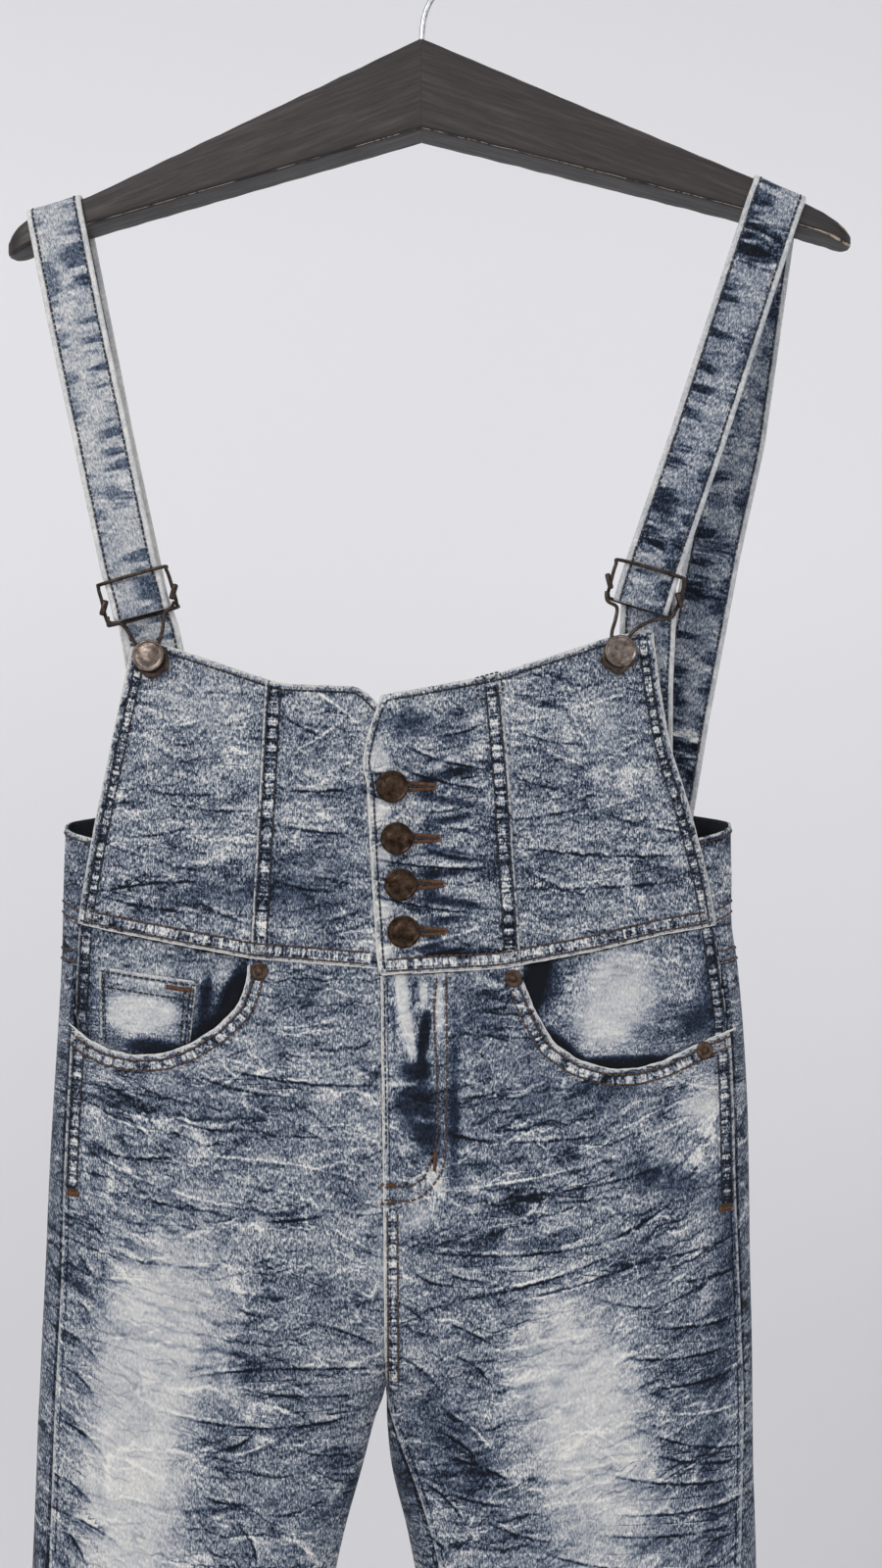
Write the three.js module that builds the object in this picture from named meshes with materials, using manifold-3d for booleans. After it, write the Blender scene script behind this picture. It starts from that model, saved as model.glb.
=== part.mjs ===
// Denim dungarees hung by their straps on a wooden hanger.
// Millimetres. +Z up, the front faces -Y, +X is the viewer's right.
// The origin is the inside top of the hook, where a rail touches it.
import * as THREE from "three";
import Module from "manifold-3d";

const wasm = await Module();
wasm.setup();

// ---------------------------------------------------------------- sizes
const CLOTH = 1.4; // wall of one layer of denim
const FACING = 1.2; // wall of facings and the coin pocket
const GAP = 0.3; // between pieces at a seam
const STRAP_W = 29.2; // strap width
const STRAP_T = 2.4; // folded strap, two layers
const SQUARE = 2.4; // superellipse exponent of the cloth rings
const CROTCH_Z = -768; // where the legs part
const DIP_Z = -690; // the centre seams start to roll under here
const ARM_T = 27; // wooden arm, front to back
const WIRE_R = 1.5; // hook wire
const CLASP_R = 0.85; // clasp wire
const BUTTON_R = 8.4;
const RIVET_R = 4.6;

// Rings of the cloth, each half of the body and each leg.
// outer: silhouette; seam: side seam on the front; inner: centre line above the crotch, inner silhouette below;
// inseam: where the leg's inner seam runs on the front; front, back: half depths of the ring.
const COLS = ["z", "outer", "seam", "inner", "inseam", "front", "back"];
const LEFT = [
  [-372, -192, -147, -20.6, -20.6, 20, 18],
  [-420, -191, -157.3, -20.6, -20.6, 22, 19],
  [-453, -188.6, -164, -20.6, -20.6, 24.5, 20],
  [-475, -186.9, -168.6, -20.6, -20.6, 26, 22],
  [-500, -187.5, -173.2, -20.6, -20.6, 27.5, 24],
  [-525, -188, -177.2, -20.6, -20.6, 29, 26],
  [-545, -188.5, -178.2, -20.4, -20.4, 31, 29],
  [-580, -190.3, -180.1, -20.0, -20.0, 34, 33],
  [-620, -192.8, -182, -19.4, -19.4, 37, 37],
  [-660, -195, -183.5, -18.9, -18.9, 38, 39],
  [-700, -196.6, -184.4, -18.6, -18.6, 38, 39],
  [-740, -198.6, -186.4, -18.5, -18.5, 37, 38],
  [-768, -199.9, -188, -18.8, -18.8, 36, 37],
  [-785, -200.8, -188.7, -24.5, -24.5, 35.5, 36.5],
  [-810, -201.6, -189.5, -31, -31, 35, 36],
  [-840, -202.8, -190.6, -39.4, -39.4, 34.5, 35],
  [-862, -203.8, -191.3, -44.4, -44.4, 34, 34],
  [-920, -206.5, -194.2, -55, -55, 32.5, 32],
  [-1000, -209.5, -197.5, -66, -66, 30, 30],
  [-1080, -212, -200.3, -74, -74, 28, 28],
  [-1200, -215, -203.8, -85, -85, 25, 25],
  [-1350, -219, -208.3, -97, -97, 22, 22],
  [-1505, -222, -211.8, -106, -106, 19.5, 19.5],
];
const RIGHT = [
  [-372, 168, 119, -20.2, -20.2, 20, 18],
  [-406, 167, 123.5, -20.2, -20.2, 21.5, 19],
  [-433, 165.4, 128.5, -20.2, -20.2, 23, 19.5],
  [-464, 163.2, 138.1, -20.2, -20.2, 25.2, 21],
  [-480, 162.4, 142.5, -20.2, -20.2, 26.3, 22.4],
  [-500, 162.8, 147.7, -20.2, -20.2, 27.5, 24],
  [-525, 162.8, 152.3, -20.2, -20.2, 29, 26],
  [-545, 165.6, 154.9, -20.0, -20.0, 31, 29],
  [-580, 168.7, 159.3, -19.6, -19.6, 34, 33],
  [-620, 170.9, 161, -19.0, -19.0, 37, 37],
  [-660, 171.7, 161.8, -18.5, -18.5, 38, 39],
  [-700, 172.2, 163.5, -18.2, -18.2, 38, 39],
  [-740, 173.2, 165.2, -18.1, -18.1, 37, 38],
  [-768, 173.5, 166.4, -18.2, -18.2, 36, 37],
  [-785, 173.7, 166.3, -18.0, -13.6, 35.5, 36.5],
  [-810, 174, 165.8, -15.4, -3.8, 35, 36],
  [-840, 175, 164.9, -8, 5.9, 34.5, 35],
  [-862, 175.6, 164.6, -3.5, 10.8, 34, 34],
  [-920, 177.6, 166.2, 9, 23, 32.5, 32],
  [-1000, 180, 168.6, 22, 35, 30, 30],
  [-1080, 182, 170.8, 33, 45, 28, 28],
  [-1200, 185, 174.2, 47, 57, 25, 25],
  [-1350, 187, 176.9, 62, 70, 22, 22],
  [-1505, 189, 179.6, 72, 78.5, 19.5, 19.5],
];

// Curves read as z of x (or x of z) on the front.
const BIB_TOP_LEFT = [[-150, -381.2], [-133.4, -380.4], [-107, -389], [-80.5, -398], [-71.4, -400.6], [-33, -402], [-26.5, -406.6], [-20.5, -413.4], [-12, -418], [8, -418]]; // x, z
const BIB_TOP_RIGHT = [[-32, -407.5], [-20, -406.6], [-14.9, -405.6], [10.8, -401.1], [39.5, -395.5], [57.2, -389.5], [81.4, -381.9], [95.5, -376.9], [119, -372.4]]; // x, z
const WAIST_LEFT = [[-178, -523.6], [-86.4, -540.7], [-22.8, -545.7], [8, -548]]; // x, z
const WAIST_RIGHT = [[-22, -549.2], [-19.8, -549.2], [41.4, -545.7], [87.5, -537.2], [123.6, -528.8], [153, -524.6]]; // x, z
const PRINCESS_LEFT = [[-550, -87.4], [-519, -86.1], [-480, -84.1], [-440, -82.1], [-390, -79.8]]; // z, x
const PRINCESS_RIGHT = [[-550, 51.3], [-515, 49.5], [-490, 47.5], [-457.5, 46], [-426, 43.4], [-390, 40]]; // z, x
const PLACKET = [[-550, -20.6], [-541.7, -21.8], [-500, -24.6], [-452, -27.3], [-440.5, -29.6], [-425, -26.5], [-408, -20.4], [-400, -19.8]]; // z, x
const UNDERLAP_X = 6; // the left half reaches this far under the right half
const LAP_RISE = 1.75; // how far the placket side lies above the left half

// Back band: heights against the distance along the cloth from a side seam.
const BACK_TOP = [[0, -480], [15, -477], [35, -472], [70, -467], [110, -462], [190, -458]]; // along, z
const BACK_WAIST = [[0, -524.6], [14, -520.6], [60, -517], [190, -515]]; // along, z
const YOKE = [[0, -545.4], [14, -543.6], [90, -560], [190, -578]]; // along, z

// Largest soft folds: centre, direction from +X in degrees, half length, half width, rise (or fall) of the cloth.
const FOLD_COLS = ["x", "z", "turn", "long", "wide", "rise"];
const FRONT_FOLDS = [
  [-150, -640, 24, 42, 11, 2.6],
  [-120, -720, -28, 55, 12, -2.6],
  [-60, -740, -38, 46, 10, 2.8],
  [20, -735, 40, 44, 10, 2.8],
  [90, -725, 26, 60, 12, -2.4],
  [118, -650, -22, 46, 11, 2.4],
  [-70, -475, 80, 42, 10, 1.6],
  [10, -478, 96, 40, 9, -1.4],
  [92, -470, 84, 44, 11, 1.6],
  [-150, -900, 62, 70, 14, 3],
  [-105, -1110, 8, 42, 13, 3],
  [-165, -1150, -14, 44, 12, -2.6],
  [150, -1120, 12, 44, 13, 3],
  [85, -1165, -10, 42, 12, -2.6],
  [-150, -1400, 10, 40, 10, 2.4],
  [125, -1410, -8, 40, 10, 2.4],
];
const BACK_FOLDS = [
  [-120, -700, 30, 60, 13, 3],
  [85, -705, -30, 60, 13, 3],
  [-140, -790, 18, 52, 11, 2.6],
  [110, -795, -16, 52, 11, 2.6],
  [-150, -1105, 6, 44, 12, -3],
  [118, -1110, -8, 44, 12, -3],
];

// Scooped front pockets, curve of the front panel's edge from the waist seam to the side seam.
const POCKET_LEFT = [[-87.8, -500], [-87.8, -544.6], [-88.5, -553.1], [-92.8, -565.1], [-103, -575.6], [-117.3, -584.6], [-130.8, -589.6], [-146.3, -590.6], [-160, -588], [-171.8, -583], [-182, -575.5], [-215, -560], [-215, -500]];
const POCKET_RIGHT = [[52.3, -500], [52.3, -553.6], [57.8, -567.6], [67, -583.6], [80, -592.6], [96.3, -597.4], [109.9, -597], [123.4, -593.6], [138.4, -587], [150, -582.4], [163, -578.5], [205, -570], [205, -500]];
const FACING_LEFT = [[-80, -500], [-80, -560], [-90, -580], [-115, -596], [-150, -600], [-176, -594], [-215, -588], [-215, -500]];
const FACING_RIGHT = [[45, -500], [45, -560], [56, -588], [76, -602], [110, -606], [140, -597], [160, -590], [205, -585], [205, -500]];
const COIN = [[-166.2, -545.6], [-114.4, -552.6], [-117.6, -584], [-125, -588.5], [-150, -589.5], [-164.8, -582]];
const FLY = [[-30, -500], [12.8, -500], [13.3, -601.5], [12.3, -643], [5.3, -657], [-4.6, -663.8], [-30, -664.5]];

// Hanger arms: stations from the mitre to the tip.
const ARM_COLS = ["x", "top", "bottom", "thick"];
const ARM_LEFT = [
  [-0.2, -64.4, -111.6, 27], [-40, -83.6, -123.2, 27], [-90, -107.4, -137.6, 27], [-140, -131.2, -152, 27],
  [-172, -146.4, -161.4, 27], [-186, -151.2, -165.6, 27], [-198, -155.4, -169.6, 26], [-207, -159.8, -173.4, 23], [-213, -164.6, -175.8, 17], [-216, -168.6, -175.2, 9],
];
const ARM_RIGHT = [
  [0.2, -64.4, -111.6, 27], [45, -83.4, -122.6, 27], [95, -104.6, -135.2, 27], [145, -125.6, -147.8, 27],
  [171, -136.6, -154.6, 27], [188, -144.4, -159.4, 27], [203, -151.8, -163.8, 26.5], [214, -157.6, -167.6, 24], [221, -162, -170.6, 18], [224.6, -165.6, -170.6, 9],
];
// Hook wire centre line in the plane of the hanger.
const HOOK = [[0, -88], [0, -70], [0.3, -58], [1.6, -48.5], [5.2, -40], [11, -34.2], [16.6, -29.8], [20.4, -24.6]]; // x, z
const HOOK_R = 21.5; // of the wire's centre line round (0, -HOOK_R + WIRE_R)

// Straps: stations of the centre line and the direction of the width.
const STRAP_COLS = ["x", "y", "z", "wx", "wz", "wy"];
const STRAP_LEFT = [
  [-144.4, -17.4, -364.6, 0.968, 0.25, 0], [-147.8, -17.4, -350.5, 0.972, 0.235, 0], [-151.2, -17.2, -340, 0.978, 0.21, 0], [-165, -17, -274.7, 0.98, 0.2, 0], [-178, -16.4, -215, 0.98, 0.2, 0],
  [-188.6, -15.3, -163, 0.975, 0.222, 0], [-190.4, -15.1, -153.5, 0.96, 0.28, 0], [-190.6, -13.6, -150.8, 0.955, 0.296, 0], [-190.7, 0, -150.2, 0.955, 0.296, 0], [-190.6, 13.6, -150.8, 0.955, 0.296, 0], [-190.4, 15.1, -153.5, 0.96, 0.28, 0],
  [-188.8, 15.3, -163, 0.975, 0.222, 0], [-167.9, 15.4, -269, 0.98, 0.2, 0], [-147.5, 15.4, -364, 0.98, 0.2, 0], [-134, 15.2, -440, 0.98, 0.19, 0.04], [-127, 15.6, -466, 0.985, 0.17, 0.06], [-122.5, 17, -492, 0.99, 0.14, 0.06],
];
const STRAP_RIGHT = [
  [113.4, -17.4, -361, 0.958, -0.288, 0], [116.8, -17.4, -349.5, 0.956, -0.293, 0], [120.6, -17.2, -338, 0.952, -0.306, 0], [142.4, -17, -275, 0.951, -0.31, 0], [163, -16.4, -212, 0.951, -0.31, 0],
  [183.2, -15.3, -151, 0.953, -0.302, 0], [186, -15.1, -144.4, 0.93, -0.368, 0], [186.4, -13.6, -142.1, 0.905, -0.425, 0], [186.5, 0, -141.6, 0.905, -0.425, 0], [186.4, 13.6, -142.1, 0.905, -0.425, 0], [186.2, 15.1, -144.4, 0.92, -0.392, 0],
  [185.2, 15.3, -152, 0.96, -0.28, 0], [168.6, 15.4, -269, 0.985, -0.17, 0], [155.2, 15.4, -330, 0.985, -0.17, 0], [138.6, 14, -416, 0.985, -0.17, -0.1], [130.5, 12.3, -464, 0.97, -0.13, -0.22], [127, 14.2, -490, 0.975, -0.1, -0.2],
];
const TAIL_LEFT = [[-148.4, -10.6, -350, 0.98, 0.2, 0], [-140.6, -10.6, -372, 0.98, 0.2, 0], [-134.4, -11.4, -400, 0.98, 0.2, 0], [-124, -13.4, -452, 0.985, 0.17, 0]];
const TAIL_RIGHT = [[118.8, -10.6, -347, 0.96, -0.28, 0], [118, -10.6, -368, 0.99, -0.14, 0], [116.4, -11.4, -400, 0.999, -0.04, 0], [115.8, -12.6, -462, 1, 0, 0]];

// Fasteners: corners of the slider loop, the two wires of the clasp, and the button centre.
const FAST = {
  left: {
    loop: [[-164.9, -18.8, -357], [-166.2, -20.4, -350.8], [-163.6, -20.6, -348.8], [-134.2, -20.6, -340.4], [-131.2, -20.4, -341.8], [-128.8, -18.8, -349], [-126.8, -14, -358.4], [-128.8, -13.2, -361], [-158.8, -13.2, -369.2], [-162.6, -14, -368]],
    plates: [[-163.9, -17, -361, 16], [-127.9, -17, -352.6, 16]],
    wires: [[[-161.6, -19.6, -365.8], [-160.4, -20, -368.8], [-154.4, -20.6, -369.6], [-150.2, -21.2, -374.6], [-146.6, -21.4, -380.6], [-143.5, -21.4, -384.3]], [[-127.4, -19.6, -357.8], [-128.6, -20, -361.2], [-132.2, -20.6, -363.8], [-133, -21.2, -372], [-134.6, -21.4, -378.4], [-136.6, -21.4, -383.2]]],
    button: [-139.7, -386.6, 14],
    plate: [-138.2, -389],
  },
  right: {
    loop: [[97.4, -18.8, -350], [100.4, -20.4, -339], [103.6, -20.6, -336.8], [132.4, -20.6, -345], [135.4, -20.4, -347.8], [134.5, -18.8, -354], [131.7, -14, -362.4], [127.6, -13.2, -364.2], [100.4, -13.2, -356.6], [97, -14, -354]],
    plates: [[97.2, -17, -347.2, -14], [133.5, -17, -357, -14]],
    wires: [[[95.6, -19.6, -352.6], [96.2, -20, -357.6], [100.8, -20.6, -360.8], [100.2, -21.2, -367], [98.2, -21.4, -374.5], [98.6, -21.4, -381.2]], [[131.2, -19.6, -362.2], [128.4, -20.2, -366.6], [120.4, -20.8, -367.4], [112, -21.2, -371.4], [107.6, -21.4, -375.6], [105.6, -21.4, -380.6]]],
    button: [102.4, -384.1, 4],
    plate: [101.4, -386.6],
  },
};
const FRONT_BUTTONS = [[-14.7, -453.5], [-12.2, -480], [-10.2, -503.4], [-8.7, -527.4]]; // x, z
const RIVETS = { rivet_left: [-82.4, -547.4], rivet_right_inner: [47.2, -551.2], rivet_right_outer: [145.1, -588.4] }; // x, z

// ---------------------------------------------------------------- the cloth's form
const clamp = (v, a, b) => Math.min(b, Math.max(a, v));
function curve(rows, t) {
  const up = rows[0][0] < rows[rows.length - 1][0];
  const r = up ? rows : [...rows].reverse();
  if (t <= r[0][0]) return r[0][1];
  for (let i = 1; i < r.length; i++)
    if (t <= r[i][0]) return r[i - 1][1] + ((r[i][1] - r[i - 1][1]) * (t - r[i - 1][0])) / (r[i][0] - r[i - 1][0]);
  return r[r.length - 1][1];
}
// Cubic reading of a table's column against z, so that outlines are smooth.
function column(table, name, z) {
  const c = COLS.indexOf(name);
  const n = table.length;
  if (z >= table[0][0]) return table[0][c];
  if (z <= table[n - 1][0]) return table[n - 1][c];
  let i = 0;
  while (z < table[i + 1][0]) i++;
  const slope = (k) => {
    if (k <= 0 || k >= n - 1) return null;
    return (table[k + 1][c] - table[k - 1][c]) / (table[k + 1][0] - table[k - 1][0]);
  };
  const z0 = table[i][0], z1 = table[i + 1][0], v0 = table[i][c], v1 = table[i + 1][c];
  const line = (v1 - v0) / (z1 - z0);
  const m0 = slope(i) ?? line, m1 = slope(i + 1) ?? line;
  const h = z1 - z0, t = (z - z0) / h;
  return (2 * t ** 3 - 3 * t * t + 1) * v0 + (t ** 3 - 2 * t * t + t) * h * m0 + (3 * t * t - 2 * t ** 3) * v1 + (t ** 3 - t * t) * h * m1;
}
const roll = (z) => {
  const w = clamp((DIP_Z - z) / (DIP_Z - CROTCH_Z), 0, 1);
  return 1 - Math.sqrt(1 - w * w);
};
function folds(table, x, z) {
  let d = 0;
  for (const row of table) {
    const f = Object.fromEntries(FOLD_COLS.map((k, i) => [k, row[i]]));
    const c = Math.cos((f.turn * Math.PI) / 180), s = Math.sin((f.turn * Math.PI) / 180);
    const along = (x - f.x) * c + (z - f.z) * s, across = -(x - f.x) * s + (z - f.z) * c;
    d += f.rise * Math.exp(-((along / f.long) ** 2)) * Math.exp(-((across / f.wide) ** 2));
  }
  return d;
}
// A point of one half's ring: a from 0 at the outer silhouette to pi at the inner end on the front, negative on the back.
function ring(side, a, z) {
  const table = side < 0 ? LEFT : RIGHT;
  if (a < -Math.PI) a += 2 * Math.PI;
  const outer = column(table, "outer", z), inner = column(table, "inner", z);
  const mid = (outer + inner) / 2, half = Math.abs(outer - inner) / 2;
  const c = Math.cos(a), s = Math.abs(Math.sin(a));
  const x = mid + side * half * Math.sign(c) * Math.abs(c) ** (2 / SQUARE);
  const g = roll(z);
  const swell = c > 0 ? s ** (2 / SQUARE) : 1 - g + g * (s * s) ** (1 + (1 / SQUARE - 1) * g);
  const depth = a > 0 ? column(table, "front", z) + folds(FRONT_FOLDS, x, z) * Math.min(1, s * s * 1.4) : column(table, "back", z) + folds(BACK_FOLDS, x, z) * Math.min(1, s * s * 1.4);
  return new THREE.Vector3(x, (a > 0 ? -1 : 1) * depth * swell, z);
}
function angleAt(side, x, z) {
  const table = side < 0 ? LEFT : RIGHT;
  const outer = column(table, "outer", z), inner = column(table, "inner", z);
  const c = clamp((side * (x - (outer + inner) / 2)) / (Math.abs(outer - inner) / 2), -1, 1);
  return Math.acos(Math.sign(c) * Math.abs(c) ** (SQUARE / 2));
}
const seamAngle = (side, z) => angleAt(side, column(side < 0 ? LEFT : RIGHT, "seam", z), z);
const inseamAngle = (side, z) => (z > CROTCH_Z ? Math.PI : angleAt(side, column(side < 0 ? LEFT : RIGHT, "inseam", z), z));
// The front as one sheet: y against x and z.
function frontAt(x, z) {
  const centre = column(LEFT, "inner", z) / 2 + column(RIGHT, "inner", z) / 2;
  const side = x < centre ? -1 : 1;
  return ring(side, angleAt(side, x, z), z);
}
function normal(f, a, z, da = 0.02, dz = 0.6, low = -1e9, high = 1e9) {
  const p = f(Math.min(high, a + da), z).sub(f(Math.max(low, a - da), z));
  const q = f(a, z + dz).sub(f(a, z - dz));
  return p.cross(q).normalize();
}

// ---------------------------------------------------------------- solids
const group = new THREE.Group();
group.name = "dungarees";
const FINISH = {
  denim: { color: 0x8791a3, roughness: 0.92, metalness: 0 },
  denim_dark: { color: 0x5b6780, roughness: 0.92, metalness: 0 },
  antique_metal: { color: 0x8a7f74, roughness: 0.42, metalness: 1 },
  wood: { color: 0x3a2e29, roughness: 0.6, metalness: 0 },
  steel: { color: 0xb9bcc0, roughness: 0.25, metalness: 1 },
};
function addMesh(name, slot, vertices, triangles) {
  const g = new THREE.BufferGeometry();
  g.setAttribute("position", new THREE.Float32BufferAttribute(vertices, 3));
  g.setIndex(triangles);
  let v = 0;
  for (let i = 0; i < triangles.length; i += 3) {
    const [p, q, r] = [0, 1, 2].map((k) => new THREE.Vector3().fromArray(vertices, 3 * triangles[i + k]));
    v += p.dot(q.cross(r)) / 6;
  }
  if (v < 0) {
    for (let i = 0; i < triangles.length; i += 3) [triangles[i + 1], triangles[i + 2]] = [triangles[i + 2], triangles[i + 1]];
    g.setIndex(triangles);
  }
  g.computeVertexNormals();
  const f = FINISH[slot];
  const m = new THREE.Mesh(g, new THREE.MeshStandardMaterial({ name: slot, ...f }));
  m.name = name;
  group.add(m);
  return m;
}
// A closed wall between two grids of points, outside and inside.
function wallData(outside, inside) {
  const ni = outside.length, nj = outside[0].length, v = [], t = [];
  for (const grid of [outside, inside]) for (const line of grid) for (const p of line) v.push(p.x, p.y, p.z);
  const at = (k, i, j) => k * ni * nj + i * nj + j;
  const quad = (a, b, c, d) => t.push(a, b, c, a, c, d);
  for (let i = 0; i < ni - 1; i++)
    for (let j = 0; j < nj - 1; j++) {
      quad(at(0, i, j), at(0, i + 1, j), at(0, i + 1, j + 1), at(0, i, j + 1));
      quad(at(1, i, j), at(1, i, j + 1), at(1, i + 1, j + 1), at(1, i + 1, j));
    }
  for (let i = 0; i < ni - 1; i++) {
    quad(at(0, i, 0), at(1, i, 0), at(1, i + 1, 0), at(0, i + 1, 0));
    quad(at(0, i, nj - 1), at(0, i + 1, nj - 1), at(1, i + 1, nj - 1), at(1, i, nj - 1));
  }
  for (let j = 0; j < nj - 1; j++) {
    quad(at(0, 0, j), at(0, 0, j + 1), at(1, 0, j + 1), at(1, 0, j));
    quad(at(0, ni - 1, j), at(1, ni - 1, j), at(1, ni - 1, j + 1), at(0, ni - 1, j + 1));
  }
  return [v, t];
}
function flip(v, t) {
  let s = 0;
  const P = (k) => new THREE.Vector3().fromArray(v, 3 * k);
  for (let i = 0; i < t.length; i += 3) s += P(t[i]).dot(P(t[i + 1]).cross(P(t[i + 2]))) / 6;
  if (s < 0) for (let i = 0; i < t.length; i += 3) [t[i + 1], t[i + 2]] = [t[i + 2], t[i + 1]];
}
const solid = ([v, t]) => {
  flip(v, t);
  return new wasm.Manifold(new wasm.Mesh({ numProp: 3, vertProperties: Float32Array.from(v), triVerts: Uint32Array.from(t) }));
};
function addSolid(name, slot, body) {
  const m = body.getMesh();
  return addMesh(name, slot, Array.from(m.vertProperties), Array.from(m.triVerts));
}
// An upright prism through the front: a polygon of x, z from y0 to y1.
function prism(poly, y0, y1) {
  const flat = new wasm.CrossSection([poly], "NonZero");
  return flat.extrude(y1 - y0).rotate([90, 0, 0]).translate([0, y1, 0]);
}
// Offsets a grid of {p, n} along its normals.
const moved = (grid, d) => grid.map((line) => line.map(({ p, n }) => p.clone().addScaledVector(n, d)));
function layer(grid, out, thick) {
  return wallData(moved(grid, out), moved(grid, out - thick));
}
function outward(grid, towards) {
  const m = grid[grid.length >> 1][grid[0].length >> 1];
  const s = m.n.dot(towards) < 0 ? -1 : 1;
  for (const line of grid) for (const c of line) c.n.multiplyScalar(s);
  return grid;
}
// Grid of a leg panel: rows of z, columns evenly spaced along the cloth between two angles.
const LEG_ROWS = [-560, -577, -594, -612, -634, -658, -680, -697, -712, -726, -738, -749, -758, -764.5, -768.5, -776, -788, -806, -830, -862, -910, -960, -1020, -1080, -1150, -1230, -1340, -1430, -1505];
function legGrid(side, from, to, top, columns, rows) {
  const grid = [];
  const zs = [null, ...rows];
  for (const z0 of zs) {
    const zn = z0 ?? top.z;
    const f = (a, z) => ring(side, a, z);
    const a0 = from(zn), a1 = to(zn), dense = 96;
    const pts = [...Array(dense + 1).keys()].map((k) => f(a0 + ((a1 - a0) * k) / dense, zn));
    const run = [0];
    for (let k = 1; k <= dense; k++) run.push(run[k - 1] + pts[k].distanceTo(pts[k - 1]));
    const L = run[dense], line = [];
    for (let i = 0; i < columns; i++) {
      const want = GAP / 2 + ((L - GAP) * i) / (columns - 1);
      let k = 1;
      while (run[k] < want && k < dense) k++;
      const a = a0 + ((a1 - a0) * (k - 1 + (want - run[k - 1]) / (run[k] - run[k - 1]))) / dense;
      const lift = z0 === null ? 0 : Math.exp(-(((top.z - z0) / 45) ** 2));
      const z = z0 === null ? top.of(pts[k].x, want, L) - GAP * 1.5 : z0 + (top.of(pts[k].x, want, L) - top.z) * lift * 0.9;
      const low = Math.min(a0, a1), high = Math.max(a0, a1);
      line.push({ p: f(a, z), n: normal(f, a, z, 0.02, 0.6, z > CROTCH_Z ? -Math.PI : -7, z > CROTCH_Z ? Math.PI : 7), low, high });
    }
    grid.push(line);
  }
  return outward(grid, new THREE.Vector3(0, from(-600) + to(-600) > 0 ? -1 : 1, 0));
}
function legFront(side) {
  const waist = side < 0 ? WAIST_LEFT : WAIST_RIGHT;
  return legGrid(side, (z) => seamAngle(side, z), (z) => inseamAngle(side, z), { z: -540, of: (x) => curve(waist, x) }, 11, LEG_ROWS);
}
function legBack(side) {
  const rows = LEG_ROWS.filter((z) => z < -600);
  return legGrid(side, (z) => seamAngle(side, z), (z) => inseamAngle(side, z) - 2 * Math.PI, { z: -560, of: (x, along) => curve(YOKE, along) }, 12, [-594, ...rows]);
}
// Grid of a bib panel between two boundaries given as x of z, from a top curve to a lower curve given as z of x.
function bibGrid(xa, xb, top, low, columns, rows, rise = () => 0) {
  const grid = [];
  for (let j = 0; j < rows; j++) {
    const t = j / (rows - 1), line = [];
    for (let i = 0; i < columns; i++) {
      const s = i / (columns - 1);
      let z = -470, x = 0;
      for (let k = 0; k < 8; k++) {
        x = xa(z) + GAP / 2 + (xb(z) - xa(z) - GAP) * s;
        z = top(x) + (low(x) + GAP / 2 - top(x)) * t;
      }
      const f = (u, v) => frontAt(u, v);
      const n = normal(f, x, z, 0.8, 0.8);
      if (n.y > 0) n.negate();
      line.push({ p: f(x, z).addScaledVector(n, rise(x)), n });
    }
    grid.push(line);
  }
  return grid;
}
const smooth = (t) => { const c = clamp(t, 0, 1); return c * c * (3 - 2 * c); };

// ---------------------------------------------------------------- the bib
const seamX = (side) => (z) => column(side < 0 ? LEFT : RIGHT, "seam", z);
addMesh("bib_side_left", "denim", ...layer(bibGrid(seamX(-1), (z) => curve(PRINCESS_LEFT, z), (x) => curve(BIB_TOP_LEFT, x), (x) => curve(WAIST_LEFT, x), 7, 11), 0, CLOTH));
addMesh("bib_center_left", "denim", ...layer(bibGrid((z) => curve(PRINCESS_LEFT, z), () => UNDERLAP_X, (x) => curve(BIB_TOP_LEFT, x), (x) => curve(WAIST_LEFT, x), 11, 11), 0, CLOTH));
const lapRise = (x) => LAP_RISE * (1 - smooth((x - 12) / 24));
addMesh("bib_center_right", "denim", ...layer(bibGrid((z) => curve(PLACKET, z), (z) => curve(PRINCESS_RIGHT, z), (x) => curve(BIB_TOP_RIGHT, x), (x) => curve(WAIST_RIGHT, x), 8, 13, lapRise), 0, CLOTH));
addMesh("bib_side_right", "denim", ...layer(bibGrid((z) => curve(PRINCESS_RIGHT, z), seamX(1), (x) => curve(BIB_TOP_RIGHT, x), (x) => curve(WAIST_RIGHT, x), 7, 11), 0, CLOTH));

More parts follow.
